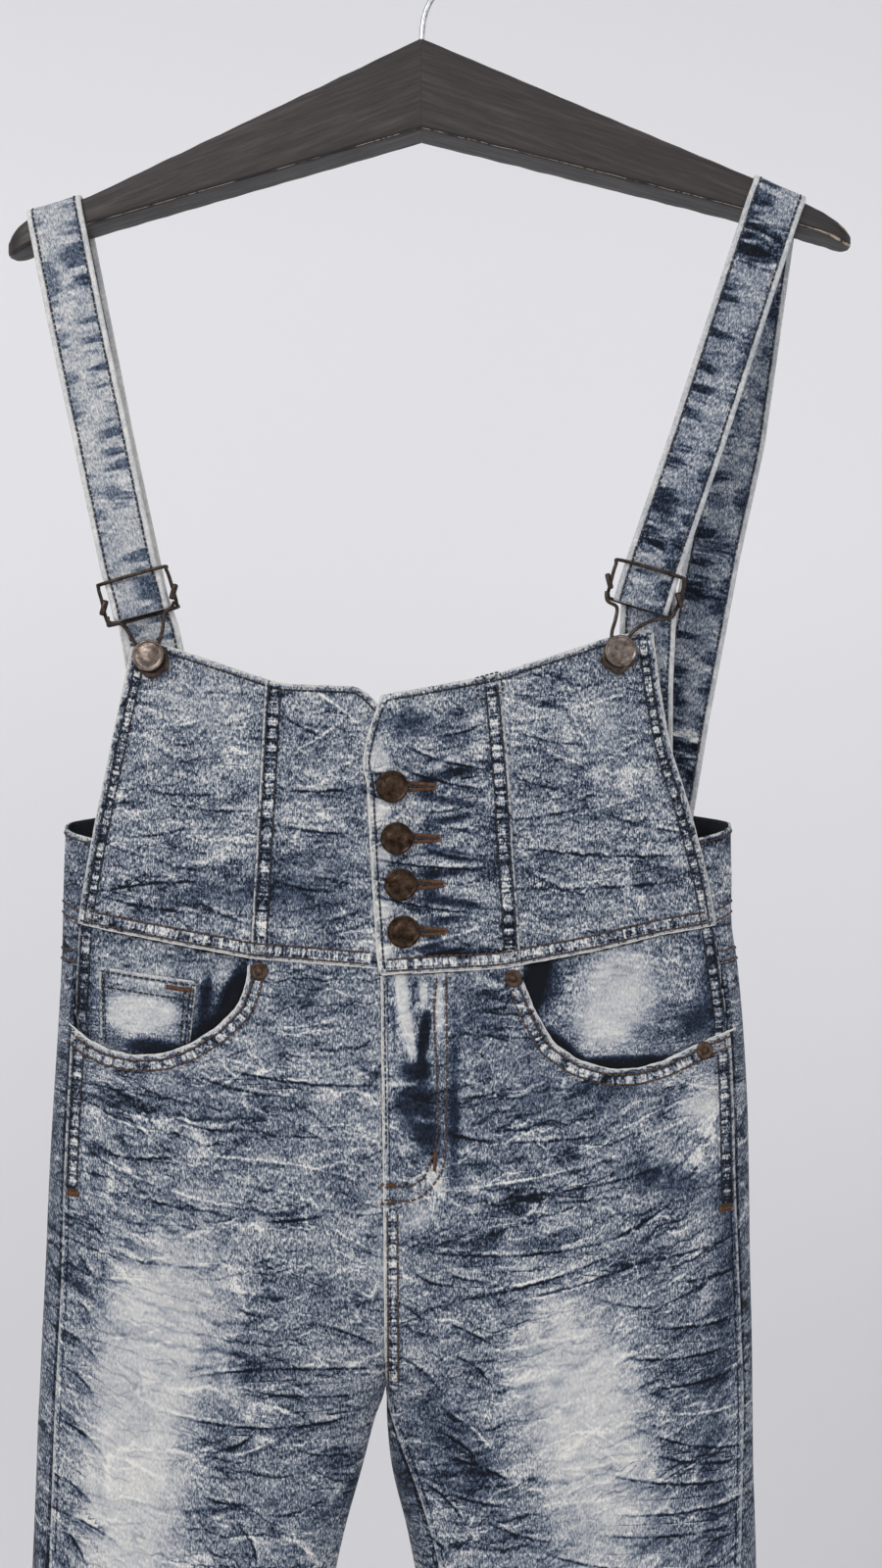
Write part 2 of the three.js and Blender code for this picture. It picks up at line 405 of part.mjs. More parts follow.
// ---------------------------------------------------------------- the back band and yokes
// Half a band on the back: t from an upper to a lower curve of the distance along the cloth.
function bandGrid(side, upper, lower, columns, rows) {
  const grid = [];
  const f = (a, z) => ring(side, a, z);
  for (let j = 0; j < rows; j++) {
    const t = j / (rows - 1), zn = upper[0][1] + (lower[0][1] - upper[0][1]) * t, line = [];
    for (let i = 0; i < columns; i++) {
      const s = i / (columns - 1);
      let z = zn, a = 0;
      for (let k = 0; k < 6; k++) {
        const a0 = seamAngle(side, z), a1 = -Math.PI, dense = 72;
        const run = [0], pts = [f(a0, z)];
        for (let d = 1; d <= dense; d++) {
          pts.push(f(a0 + ((a1 - a0) * d) / dense, z));
          run.push(run[d - 1] + pts[d].distanceTo(pts[d - 1]));
        }
        const want = GAP / 2 + (run[dense] - GAP / 2 - (side === 0 ? 0 : GAP / 2)) * s;
        let d = 1;
        while (run[d] < want && d < dense) d++;
        a = a0 + ((a1 - a0) * (d - 1 + (want - run[d - 1]) / (run[d] - run[d - 1]))) / dense;
        z = curve(upper, want) + (curve(lower, want) - curve(upper, want)) * t - GAP * (0.5 - 1.5 * t);
      }
      line.push({ p: f(a, z), n: normal(f, a, z, 0.02, 0.6, -Math.PI) });
    }
    grid.push(line);
  }
  return outward(grid, new THREE.Vector3(0, 1, 0));
}
{
  const up = BACK_TOP.map(([s, z]) => [s, z]), low = BACK_WAIST;
  const l = bandGrid(-1, up, low, 13, 5), r = bandGrid(1, up, low, 13, 5);
  const whole = l.map((line, j) => {
    const other = [...r[j]].reverse();
    const a = line.slice(0, -1), b = other.slice(1);
    const m = { p: line[line.length - 1].p.clone().add(other[0].p).multiplyScalar(0.5), n: line[line.length - 1].n.clone().add(other[0].n).normalize() };
    return [...a, m, ...b];
  });
  addMesh("back_upper", "denim", ...layer(whole, 0, CLOTH));
  addMesh("back_yoke_left", "denim", ...layer(bandGrid(-1, BACK_WAIST, YOKE, 12, 4), 0, CLOTH));
  addMesh("back_yoke_right", "denim", ...layer(bandGrid(1, BACK_WAIST, YOKE, 12, 4), 0, CLOTH));
}

// ---------------------------------------------------------------- trousers
const fronts = { left: legFront(-1), right: legFront(1) };
const POCKETS = { left: [POCKET_LEFT, FACING_LEFT, -(CLOTH + GAP + FACING + GAP)], right: [POCKET_RIGHT, FACING_RIGHT, -(CLOTH + GAP)] };
for (const [name, grid] of Object.entries(fronts)) {
  const [opening, facing, depth] = POCKETS[name];
  addSolid(`leg_front_${name}`, "denim", solid(layer(grid, 0, CLOTH)).subtract(prism(opening, -80, -3)));
  addSolid(`pocket_facing_${name}`, "denim", solid(layer(grid.slice(0, 7), depth, FACING)).intersect(prism(facing, -80, -1)));
}
addSolid("coin_pocket", "denim", solid(layer(fronts.left.slice(0, 6), -(CLOTH + GAP), FACING)).intersect(prism(COIN, -80, -3)));
addSolid("fly_facing", "denim", solid(layer(fronts.right.slice(0, 9), -(CLOTH + GAP), FACING)).intersect(prism(FLY, -80, -3)));
for (const [name, side] of [["left", -1], ["right", 1]]) addMesh(`leg_back_${name}`, "denim", ...layer(legBack(side), 0, CLOTH));

// ---------------------------------------------------------------- straps
function strap(name, rows) {
  const path = rows.map((r) => Object.fromEntries(STRAP_COLS.map((k, i) => [k, r[i]])));
  const mid = path.map((r) => new THREE.Vector3(r.x, r.y, r.z));
  const out = [], inn = [];
  path.forEach((r, k) => {
    const along = mid[Math.min(k + 1, mid.length - 1)].clone().sub(mid[Math.max(k - 1, 0)]).normalize();
    const w = new THREE.Vector3(r.wx, r.wy, r.wz).normalize();
    const n = w.clone().cross(along).normalize();
    const lineOut = [], lineIn = [];
    for (const s of [-1, -0.34, 0.34, 1]) {
      const p = mid[k].clone().addScaledVector(w, (s * STRAP_W) / 2);
      lineOut.push(p.clone().addScaledVector(n, STRAP_T / 2));
      lineIn.push(p.clone().addScaledVector(n, -STRAP_T / 2));
    }
    out.push(lineOut);
    inn.push(lineIn);
  });
  addMesh(name, "denim", ...wallData(out, inn));
}
strap("strap_left", STRAP_LEFT);
strap("strap_right", STRAP_RIGHT);
strap("strap_tail_left", TAIL_LEFT);
strap("strap_tail_right", TAIL_RIGHT);

// ---------------------------------------------------------------- wires
function rodData(points, r, sides, closed = false) {
  const n = points.length, v = [], t = [];
  const tangent = (k) => {
    const a = points[closed ? (k - 1 + n) % n : Math.max(0, k - 1)], b = points[closed ? (k + 1) % n : Math.min(n - 1, k + 1)];
    return b.clone().sub(a).normalize();
  };
  let u = new THREE.Vector3(0.13, 1, 0.07);
  points.forEach((p, k) => {
    const d = tangent(k);
    u = u.clone().addScaledVector(d, -u.dot(d)).normalize();
    const w = d.clone().cross(u);
    for (let s = 0; s < sides; s++) {
      const a = (2 * Math.PI * s) / sides;
      const q = p.clone().addScaledVector(u, r * Math.cos(a)).addScaledVector(w, r * Math.sin(a));
      v.push(q.x, q.y, q.z);
    }
  });
  const last = closed ? n : n - 1;
  for (let k = 0; k < last; k++)
    for (let s = 0; s < sides; s++) {
      const a = k * sides + s, b = k * sides + ((s + 1) % sides), c = ((k + 1) % n) * sides + ((s + 1) % sides), d = ((k + 1) % n) * sides + s;
      t.push(a, b, c, a, c, d);
    }
  if (!closed) for (let s = 1; s < sides - 1; s++) t.push(0, s + 1, s, (n - 1) * sides, (n - 1) * sides + s, (n - 1) * sides + s + 1);
  return [v, t];
}
const hookLine = new THREE.CatmullRomCurve3(HOOK.map(([x, z]) => new THREE.Vector3(x, 0, z))).getPoints(20);
for (let k = 0; k <= 20; k++) {
  const a = ((-8 + (208 * k) / 20) * Math.PI) / 180;
  hookLine.push(new THREE.Vector3(HOOK_R * Math.cos(a), 0, -HOOK_R + WIRE_R + HOOK_R * Math.sin(a)));
}
addMesh("hanger_hook", "steel", ...rodData(hookLine, WIRE_R, 14));

// ---------------------------------------------------------------- wooden arms
function armData(rows) {
  const CUT = 2.2; // bevel of the long edges
  const v = [], t = [];
  const ringOf = (r) => {
    const hy = r.thick / 2, hz = (r.top - r.bottom) / 2, cz = (r.top + r.bottom) / 2, c = Math.min(CUT, hz * 0.6, hy * 0.6);
    return [[-hy, hz - c], [-hy + c * 0.3, hz - c * 0.3], [-hy + c, hz], [hy - c, hz], [hy - c * 0.3, hz - c * 0.3], [hy, hz - c], [hy, -hz + c], [hy - c * 0.3, -hz + c * 0.3], [hy - c, -hz], [-hy + c, -hz], [-hy + c * 0.3, -hz + c * 0.3], [-hy, -hz + c]].map(([y, z]) => [r.x, y, cz + z]);
  };
  const named = rows.map((r) => Object.fromEntries(ARM_COLS.map((k, i) => [k, r[i]])));
  const rings = named.map(ringOf), m = 12;
  for (const q of rings) for (const p of q) v.push(...p);
  for (let k = 0; k < rings.length - 1; k++)
    for (let s = 0; s < m; s++) {
      const a = k * m + s, b = k * m + ((s + 1) % m), c = (k + 1) * m + ((s + 1) % m), d = (k + 1) * m + s;
      t.push(a, b, c, a, c, d);
    }
  const e = (rings.length - 1) * m;
  for (let s = 1; s < m - 1; s++) t.push(0, s + 1, s, e, e + s, e + s + 1);
  return [v, t];
}
const bore = wasm.Manifold.cylinder(60, WIRE_R + GAP, WIRE_R + GAP, 24).translate([0, 0, -90]);
addSolid("hanger_arm_left", "wood", solid(armData(ARM_LEFT)).subtract(bore));
addSolid("hanger_arm_right", "wood", solid(armData(ARM_RIGHT)).subtract(bore));

// ---------------------------------------------------------------- metal
// A turned solid about its own axis, standing at p and facing n.
function turned(profile, p, n, sides) {
  const g = new THREE.LatheGeometry(profile.map(([r, h]) => new THREE.Vector2(r, h)), sides);
  const q = new THREE.Quaternion().setFromUnitVectors(new THREE.Vector3(0, 1, 0), n.clone().normalize());
  const pos = g.attributes.position, v = [], index = new Map(), of = [];
  for (let i = 0; i < pos.count; i++) {
    const w = new THREE.Vector3().fromBufferAttribute(pos, i);
    const key = `${w.x.toFixed(4)},${w.y.toFixed(4)},${w.z.toFixed(4)}`.replace(/-0\.0000/g, "0.0000");
    if (!index.has(key)) {
      index.set(key, v.length / 3);
      w.applyQuaternion(q).add(p);
      v.push(w.x, w.y, w.z);
    }
    of.push(index.get(key));
  }
  const t = [], idx = g.index.array;
  for (let i = 0; i < idx.length; i += 3) {
    const tri = [of[idx[i]], of[idx[i + 1]], of[idx[i + 2]]];
    if (new Set(tri).size === 3) t.push(...tri);
  }
  return [v, t];
}
const shankButton = (r) => [[0, 0], [2.6, 0], [2.6, 1.9], [r * 0.86, 1.9], [r * 0.98, 2.3], [r, 3], [r * 0.96, 3.7], [r * 0.86, 4], [r * 0.62, 4.1], [r * 0.3, 4.4], [0, 4.5]];
const rivet = (r) => [[0, 0], [r, 0], [r, 0.5], [r * 0.8, 1.1], [r * 0.5, 1.2], [r * 0.34, 1.9], [0, 2.1]];
function onFront(x, z, out) {
  const n = normal((u, v) => frontAt(u, v), x, z, 0.8, 0.8);
  if (n.y > 0) n.negate();
  return { p: frontAt(x, z).addScaledVector(n, out), n };
}
FRONT_BUTTONS.forEach(([x, z], k) => {
  const { p, n } = onFront(x, z, lapRise(x) + GAP + 0.25);
  addMesh(`front_button_${k + 1}`, "antique_metal", ...turned(shankButton(BUTTON_R), p, n, 28));
});
for (const [name, [x, z]] of Object.entries(RIVETS)) {
  const { p, n } = onFront(x, z, GAP + 0.25);
  addMesh(name, "antique_metal", ...turned(rivet(RIVET_R), p, n, 20));
}
for (const [side, f] of Object.entries(FAST)) {
  const V = (p) => new THREE.Vector3(...p);
  let slider = solid(rodData(f.loop.map(V), CLASP_R, 8, true));
  for (const [x, y, z, tilt] of f.plates) slider = slider.add(wasm.Manifold.cube([2.6, 4.2, 8], true).rotate([0, tilt, 0]).translate([x, y - 0.4, z]));
  addSolid(`slider_${side}`, "antique_metal", slider);
  const [bx, bz, lean] = f.button;
  const { p, n } = onFront(bx, bz, GAP + 0.2);
  n.applyAxisAngle(new THREE.Vector3(1, 0, 0), (-lean * 0.4 * Math.PI) / 180);
  const face = new THREE.Quaternion().setFromUnitVectors(new THREE.Vector3(0, 0, 1), n);
  const [px, pz] = f.plate;
  const outline = [...Array(60).keys()].map((k) => {
    const a = (2 * Math.PI * k) / 60;
    const r = 8.8 + 0.6 * Math.cos(5 * a + Math.PI / 2);
    return [r * Math.cos(a), r * Math.sin(a)];
  });
  const plateAt = onFront(px, pz, 0).p.addScaledVector(n, 1.5);
  const m = new THREE.Matrix4().compose(plateAt, face, new THREE.Vector3(1, 1, 1));
  const hole = new THREE.Matrix4().compose(p.clone().addScaledVector(n, -3), face, new THREE.Vector3(1, 1, 1));
  let clasp = new wasm.CrossSection([outline], "NonZero").extrude(0.8).transform(Array.from(m.elements)).subtract(wasm.Manifold.cylinder(12, 3.2, 3.2, 24).transform(Array.from(hole.elements)));
  for (const w of f.wires) {
    const pts = w.map(V);
    const end = pts[pts.length - 1];
    const dig = plateAt.clone().addScaledVector(n, 0.4);
    end.y = dig.y - ((end.x - dig.x) * n.x + (end.z - dig.z) * n.z) / n.y;
    clasp = clasp.add(solid(rodData(pts, CLASP_R, 8)));
  }
  addSolid(`clasp_${side}`, "antique_metal", clasp);
  addMesh(`strap_button_${side}`, "antique_metal", ...turned(shankButton(BUTTON_R).map(([r, h]) => [r, h > 0 ? h + 1.3 : 0]), p, n, 28));
}

export default group;
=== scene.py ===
import math

import bpy
import numpy as np
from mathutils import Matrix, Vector


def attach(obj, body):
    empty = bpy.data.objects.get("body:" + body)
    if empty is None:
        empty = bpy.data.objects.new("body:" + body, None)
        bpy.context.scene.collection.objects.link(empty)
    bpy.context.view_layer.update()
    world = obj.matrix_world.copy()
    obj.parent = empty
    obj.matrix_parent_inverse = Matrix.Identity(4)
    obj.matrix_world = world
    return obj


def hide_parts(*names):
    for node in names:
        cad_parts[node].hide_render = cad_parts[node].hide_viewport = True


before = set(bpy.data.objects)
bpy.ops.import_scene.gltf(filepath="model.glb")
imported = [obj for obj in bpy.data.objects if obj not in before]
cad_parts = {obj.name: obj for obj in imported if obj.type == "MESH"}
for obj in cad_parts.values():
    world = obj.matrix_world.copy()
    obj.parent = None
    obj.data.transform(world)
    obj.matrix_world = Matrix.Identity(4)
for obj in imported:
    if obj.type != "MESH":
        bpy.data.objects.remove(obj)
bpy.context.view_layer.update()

MM = 0.001
# ---------------------------------------------------------------- sizes, in millimetres
CLOTH = 1.3
FACING = 1.1
GAP = 0.3
STRAP_W = 29.2
STRAP_T = 2.3
SQUARE = 2.4
CROTCH_Z = -768
DIP_Z = -690
WIRE_R = 1.5
CLASP_R = 0.85
BUTTON_R = 8.4
RIVET_R = 4.6
UNDERLAP_X = 6
LAP_RISE = 1.75
HOOK_R = 21.5

COLS = ["z", "outer", "seam", "inner", "inseam", "front", "back"]
LEFT = [
  [-372, -192, -147, -20.6, -20.6, 20, 18],
  [-420, -191, -157.3, -20.6, -20.6, 22, 19],
  [-453, -188.6, -164, -20.6, -20.6, 24.5, 20],
  [-475, -186.9, -168.6, -20.6, -20.6, 26, 22],
  [-500, -187.5, -173.2, -20.6, -20.6, 27.5, 24],
  [-525, -188, -177.2, -20.6, -20.6, 29, 26],
  [-545, -188.5, -178.2, -20.4, -20.4, 31, 29],
  [-580, -190.3, -180.1, -20.0, -20.0, 34, 33],
  [-620, -192.8, -182, -19.4, -19.4, 37, 37],
  [-660, -195, -183.5, -18.9, -18.9, 38, 39],
  [-700, -196.6, -184.4, -18.6, -18.6, 38, 39],
  [-740, -198.6, -186.4, -18.5, -18.5, 37, 38],
  [-768, -199.9, -188, -18.8, -18.8, 36, 37],
  [-785, -200.8, -188.7, -24.5, -24.5, 35.5, 36.5],
  [-810, -201.6, -189.5, -31, -31, 35, 36],
  [-840, -202.8, -190.6, -39.4, -39.4, 34.5, 35],
  [-862, -203.8, -191.3, -44.4, -44.4, 34, 34],
  [-920, -206.5, -194.2, -55, -55, 32.5, 32],
  [-1000, -209.5, -197.5, -66, -66, 30, 30],
  [-1080, -212, -200.3, -74, -74, 28, 28],
  [-1200, -215, -203.8, -85, -85, 25, 25],
  [-1350, -219, -208.3, -97, -97, 22, 22],
  [-1505, -222, -211.8, -106, -106, 19.5, 19.5],
]
RIGHT = [
  [-372, 168, 119, -20.2, -20.2, 20, 18],
  [-406, 167, 123.5, -20.2, -20.2, 21.5, 19],
  [-433, 165.4, 128.5, -20.2, -20.2, 23, 19.5],
  [-464, 163.2, 138.1, -20.2, -20.2, 25.2, 21],
  [-480, 162.4, 142.5, -20.2, -20.2, 26.3, 22.4],
  [-500, 162.8, 147.7, -20.2, -20.2, 27.5, 24],
  [-525, 162.8, 152.3, -20.2, -20.2, 29, 26],
  [-545, 165.6, 154.9, -20.0, -20.0, 31, 29],
  [-580, 168.7, 159.3, -19.6, -19.6, 34, 33],
  [-620, 170.9, 161, -19.0, -19.0, 37, 37],
  [-660, 171.7, 161.8, -18.5, -18.5, 38, 39],
  [-700, 172.2, 163.5, -18.2, -18.2, 38, 39],
  [-740, 173.2, 165.2, -18.1, -18.1, 37, 38],
  [-768, 173.5, 166.4, -18.2, -18.2, 36, 37],
  [-785, 173.7, 166.3, -18.0, -13.6, 35.5, 36.5],
  [-810, 174, 165.8, -15.4, -3.8, 35, 36],
  [-840, 175, 164.9, -8, 5.9, 34.5, 35],
  [-862, 175.6, 164.6, -3.5, 10.8, 34, 34],
  [-920, 177.6, 166.2, 9, 23, 32.5, 32],
  [-1000, 180, 168.6, 22, 35, 30, 30],
  [-1080, 182, 170.8, 33, 45, 28, 28],
  [-1200, 185, 174.2, 47, 57, 25, 25],
  [-1350, 187, 176.9, 62, 70, 22, 22],
  [-1505, 189, 179.6, 72, 78.5, 19.5, 19.5],
]
BIB_TOP_LEFT = [[-150, -381.2], [-133.4, -380.4], [-107, -389], [-80.5, -398], [-71.4, -400.6], [-33, -402], [-26.5, -406.6], [-20.5, -413.4], [-12, -418], [8, -418]]
BIB_TOP_RIGHT = [[-32, -407.5], [-20, -406.6], [-14.9, -405.6], [10.8, -401.1], [39.5, -395.5], [57.2, -389.5], [81.4, -381.9], [95.5, -376.9], [119, -372.4]]
WAIST_LEFT = [[-178, -523.6], [-86.4, -540.7], [-22.8, -545.7], [8, -548]]
WAIST_RIGHT = [[-22, -549.2], [-19.8, -549.2], [41.4, -545.7], [87.5, -537.2], [123.6, -528.8], [153, -524.6]]
PRINCESS_LEFT = [[-550, -87.4], [-519, -86.1], [-480, -84.1], [-440, -82.1], [-390, -79.8]]
PRINCESS_RIGHT = [[-550, 51.3], [-515, 49.5], [-490, 47.5], [-457.5, 46], [-426, 43.4], [-390, 40]]
PLACKET = [[-550, -20.6], [-541.7, -21.8], [-500, -24.6], [-452, -27.3], [-440.5, -29.6], [-425, -26.5], [-408, -20.4], [-400, -19.8]]
BACK_TOP = [[0, -480], [15, -477], [35, -472], [70, -467], [110, -462], [190, -458]]
BACK_WAIST = [[0, -524.6], [14, -520.6], [60, -517], [190, -515]]
YOKE = [[0, -545.4], [14, -543.6], [90, -560], [190, -578]]
FRONT_FOLDS = [
  [-150, -640, 24, 42, 11, 2.6],
  [-120, -720, -28, 55, 12, -2.6],
  [-60, -740, -38, 46, 10, 2.8],
  [20, -735, 40, 44, 10, 2.8],
  [90, -725, 26, 60, 12, -2.4],
  [118, -650, -22, 46, 11, 2.4],
  [-70, -475, 80, 42, 10, 1.6],
  [10, -478, 96, 40, 9, -1.4],
  [92, -470, 84, 44, 11, 1.6],
  [-150, -900, 62, 70, 14, 3],
  [-105, -1110, 8, 42, 13, 3],
  [-165, -1150, -14, 44, 12, -2.6],
  [150, -1120, 12, 44, 13, 3],
  [85, -1165, -10, 42, 12, -2.6],
  [-150, -1400, 10, 40, 10, 2.4],
  [125, -1410, -8, 40, 10, 2.4],
]
BACK_FOLDS = [
  [-120, -700, 30, 60, 13, 3],
  [85, -705, -30, 60, 13, 3],
  [-140, -790, 18, 52, 11, 2.6],
  [110, -795, -16, 52, 11, 2.6],
  [-150, -1105, 6, 44, 12, -3],
  [118, -1110, -8, 44, 12, -3],
]
POCKET_LEFT = [[-87.8, -500], [-87.8, -544.6], [-88.5, -553.1], [-92.8, -565.1], [-103, -575.6], [-117.3, -584.6], [-130.8, -589.6], [-146.3, -590.6], [-160, -588], [-171.8, -583], [-182, -575.5], [-215, -560], [-215, -500]]
POCKET_RIGHT = [[52.3, -500], [52.3, -553.6], [57.8, -567.6], [67, -583.6], [80, -592.6], [96.3, -597.4], [109.9, -597], [123.4, -593.6], [138.4, -587], [150, -582.4], [163, -578.5], [205, -570], [205, -500]]
FACING_LEFT = [[-80, -500], [-80, -560], [-90, -580], [-115, -596], [-150, -600], [-176, -594], [-215, -588], [-215, -500]]
FACING_RIGHT = [[45, -500], [45, -560], [56, -588], [76, -602], [110, -606], [140, -597], [160, -590], [205, -585], [205, -500]]
COIN = [[-166.2, -545.6], [-114.4, -552.6], [-117.6, -584], [-125, -588.5], [-150, -589.5], [-164.8, -582]]
FLY = [[-30, -500], [12.8, -500], [13.3, -601.5], [12.3, -643], [5.3, -657], [-4.6, -663.8], [-30, -664.5]]
ARM_LEFT = [
  [-0.2, -64.4, -111.6, 27], [-40, -83.6, -123.2, 27], [-90, -107.4, -137.6, 27], [-140, -131.2, -152, 27],
  [-172, -146.4, -161.4, 27], [-186, -151.2, -165.6, 27], [-198, -155.4, -169.6, 26], [-207, -159.8, -173.4, 23], [-213, -164.6, -175.8, 17], [-216, -168.6, -175.2, 9],
]
ARM_RIGHT = [
  [0.2, -64.4, -111.6, 27], [45, -83.4, -122.6, 27], [95, -104.6, -135.2, 27], [145, -125.6, -147.8, 27],
  [171, -136.6, -154.6, 27], [188, -144.4, -159.4, 27], [203, -151.8, -163.8, 26.5], [214, -157.6, -167.6, 24], [221, -162, -170.6, 18], [224.6, -165.6, -170.6, 9],
]
HOOK = [[0, -88], [0, -70], [0.3, -58], [1.6, -48.5], [5.2, -40], [11, -34.2], [16.6, -29.8], [20.4, -24.6]]
STRAP_LEFT = [
  [-144.4, -17.4, -364.6, 0.968, 0.25, 0], [-147.8, -17.4, -350.5, 0.972, 0.235, 0], [-151.2, -17.2, -340, 0.978, 0.21, 0], [-165, -17, -274.7, 0.98, 0.2, 0], [-178, -16.4, -215, 0.98, 0.2, 0],
  [-188.6, -15.3, -163, 0.975, 0.222, 0], [-190.4, -15.1, -153.5, 0.96, 0.28, 0], [-190.6, -13.6, -150.8, 0.955, 0.296, 0], [-190.7, 0, -150.2, 0.955, 0.296, 0], [-190.6, 13.6, -150.8, 0.955, 0.296, 0], [-190.4, 15.1, -153.5, 0.96, 0.28, 0],
  [-188.8, 15.3, -163, 0.975, 0.222, 0], [-167.9, 15.4, -269, 0.98, 0.2, 0], [-147.5, 15.4, -364, 0.98, 0.2, 0], [-134, 15.2, -440, 0.98, 0.19, 0.04], [-127, 15.6, -466, 0.985, 0.17, 0.06], [-122.5, 17, -492, 0.99, 0.14, 0.06],
]
STRAP_RIGHT = [
  [113.4, -17.4, -361, 0.958, -0.288, 0], [116.8, -17.4, -349.5, 0.956, -0.293, 0], [120.6, -17.2, -338, 0.952, -0.306, 0], [142.4, -17, -275, 0.951, -0.31, 0], [163, -16.4, -212, 0.951, -0.31, 0],
  [183.2, -15.3, -151, 0.953, -0.302, 0], [186, -15.1, -144.4, 0.93, -0.368, 0], [186.4, -13.6, -142.1, 0.905, -0.425, 0], [186.5, 0, -141.6, 0.905, -0.425, 0], [186.4, 13.6, -142.1, 0.905, -0.425, 0], [186.2, 15.1, -144.4, 0.92, -0.392, 0],
  [185.2, 15.3, -152, 0.96, -0.28, 0], [168.6, 15.4, -269, 0.985, -0.17, 0], [155.2, 15.4, -330, 0.985, -0.17, 0], [138.6, 14, -416, 0.985, -0.17, -0.1], [130.5, 12.3, -464, 0.97, -0.13, -0.22], [127, 14.2, -490, 0.975, -0.1, -0.2],
]
TAIL_LEFT = [[-148.4, -10.6, -350, 0.98, 0.2, 0], [-140.6, -10.6, -372, 0.98, 0.2, 0], [-134.4, -11.4, -400, 0.98, 0.2, 0], [-124, -13.4, -452, 0.985, 0.17, 0]]
TAIL_RIGHT = [[118.8, -10.6, -347, 0.96, -0.28, 0], [118, -10.6, -368, 0.99, -0.14, 0], [116.4, -11.4, -400, 0.999, -0.04, 0], [115.8, -12.6, -462, 1, 0, 0]]
FRONT_BUTTONS = [[-14.7, -453.5], [-12.2, -480], [-10.2, -503.4], [-8.7, -527.4]]
FAST = {
  "left": {
    "loop": [[-164.9, -18.8, -357], [-166.2, -20.4, -350.8], [-163.6, -20.6, -348.8], [-134.2, -20.6, -340.4], [-131.2, -20.4, -341.8], [-128.8, -18.8, -349], [-126.8, -14, -358.4], [-128.8, -13.2, -361], [-158.8, -13.2, -369.2], [-162.6, -14, -368]],
    "plates": [[-163.9, -17, -361, 16], [-127.9, -17, -352.6, 16]],
    "wires": [[[-161.6, -19.6, -365.8], [-160.4, -20, -368.8], [-154.4, -20.6, -369.6], [-150.2, -21.2, -374.6], [-146.6, -21.4, -380.6], [-143.5, -21.4, -384.3]], [[-127.4, -19.6, -357.8], [-128.6, -20, -361.2], [-132.2, -20.6, -363.8], [-133, -21.2, -372], [-134.6, -21.4, -378.4], [-136.6, -21.4, -383.2]]],
    "button": [-139.7, -386.6, 14],
    "plate": [-138.2, -389],
  },
  "right": {
    "loop": [[97.4, -18.8, -350], [100.4, -20.4, -339], [103.6, -20.6, -336.8], [132.4, -20.6, -345], [135.4, -20.4, -347.8], [134.5, -18.8, -354], [131.7, -14, -362.4], [127.6, -13.2, -364.2], [100.4, -13.2, -356.6], [97, -14, -354]],
    "plates": [[97.2, -17, -347.2, -14], [133.5, -17, -357, -14]],
    "wires": [[[95.6, -19.6, -352.6], [96.2, -20, -357.6], [100.8, -20.6, -360.8], [100.2, -21.2, -367], [98.2, -21.4, -374.5], [98.6, -21.4, -381.2]], [[131.2, -19.6, -362.2], [128.4, -20.2, -366.6], [120.4, -20.8, -367.4], [112, -21.2, -371.4], [107.6, -21.4, -375.6], [105.6, -21.4, -380.6]]],
    "button": [102.4, -384.1, 4],
    "plate": [101.4, -386.6],
  },
}

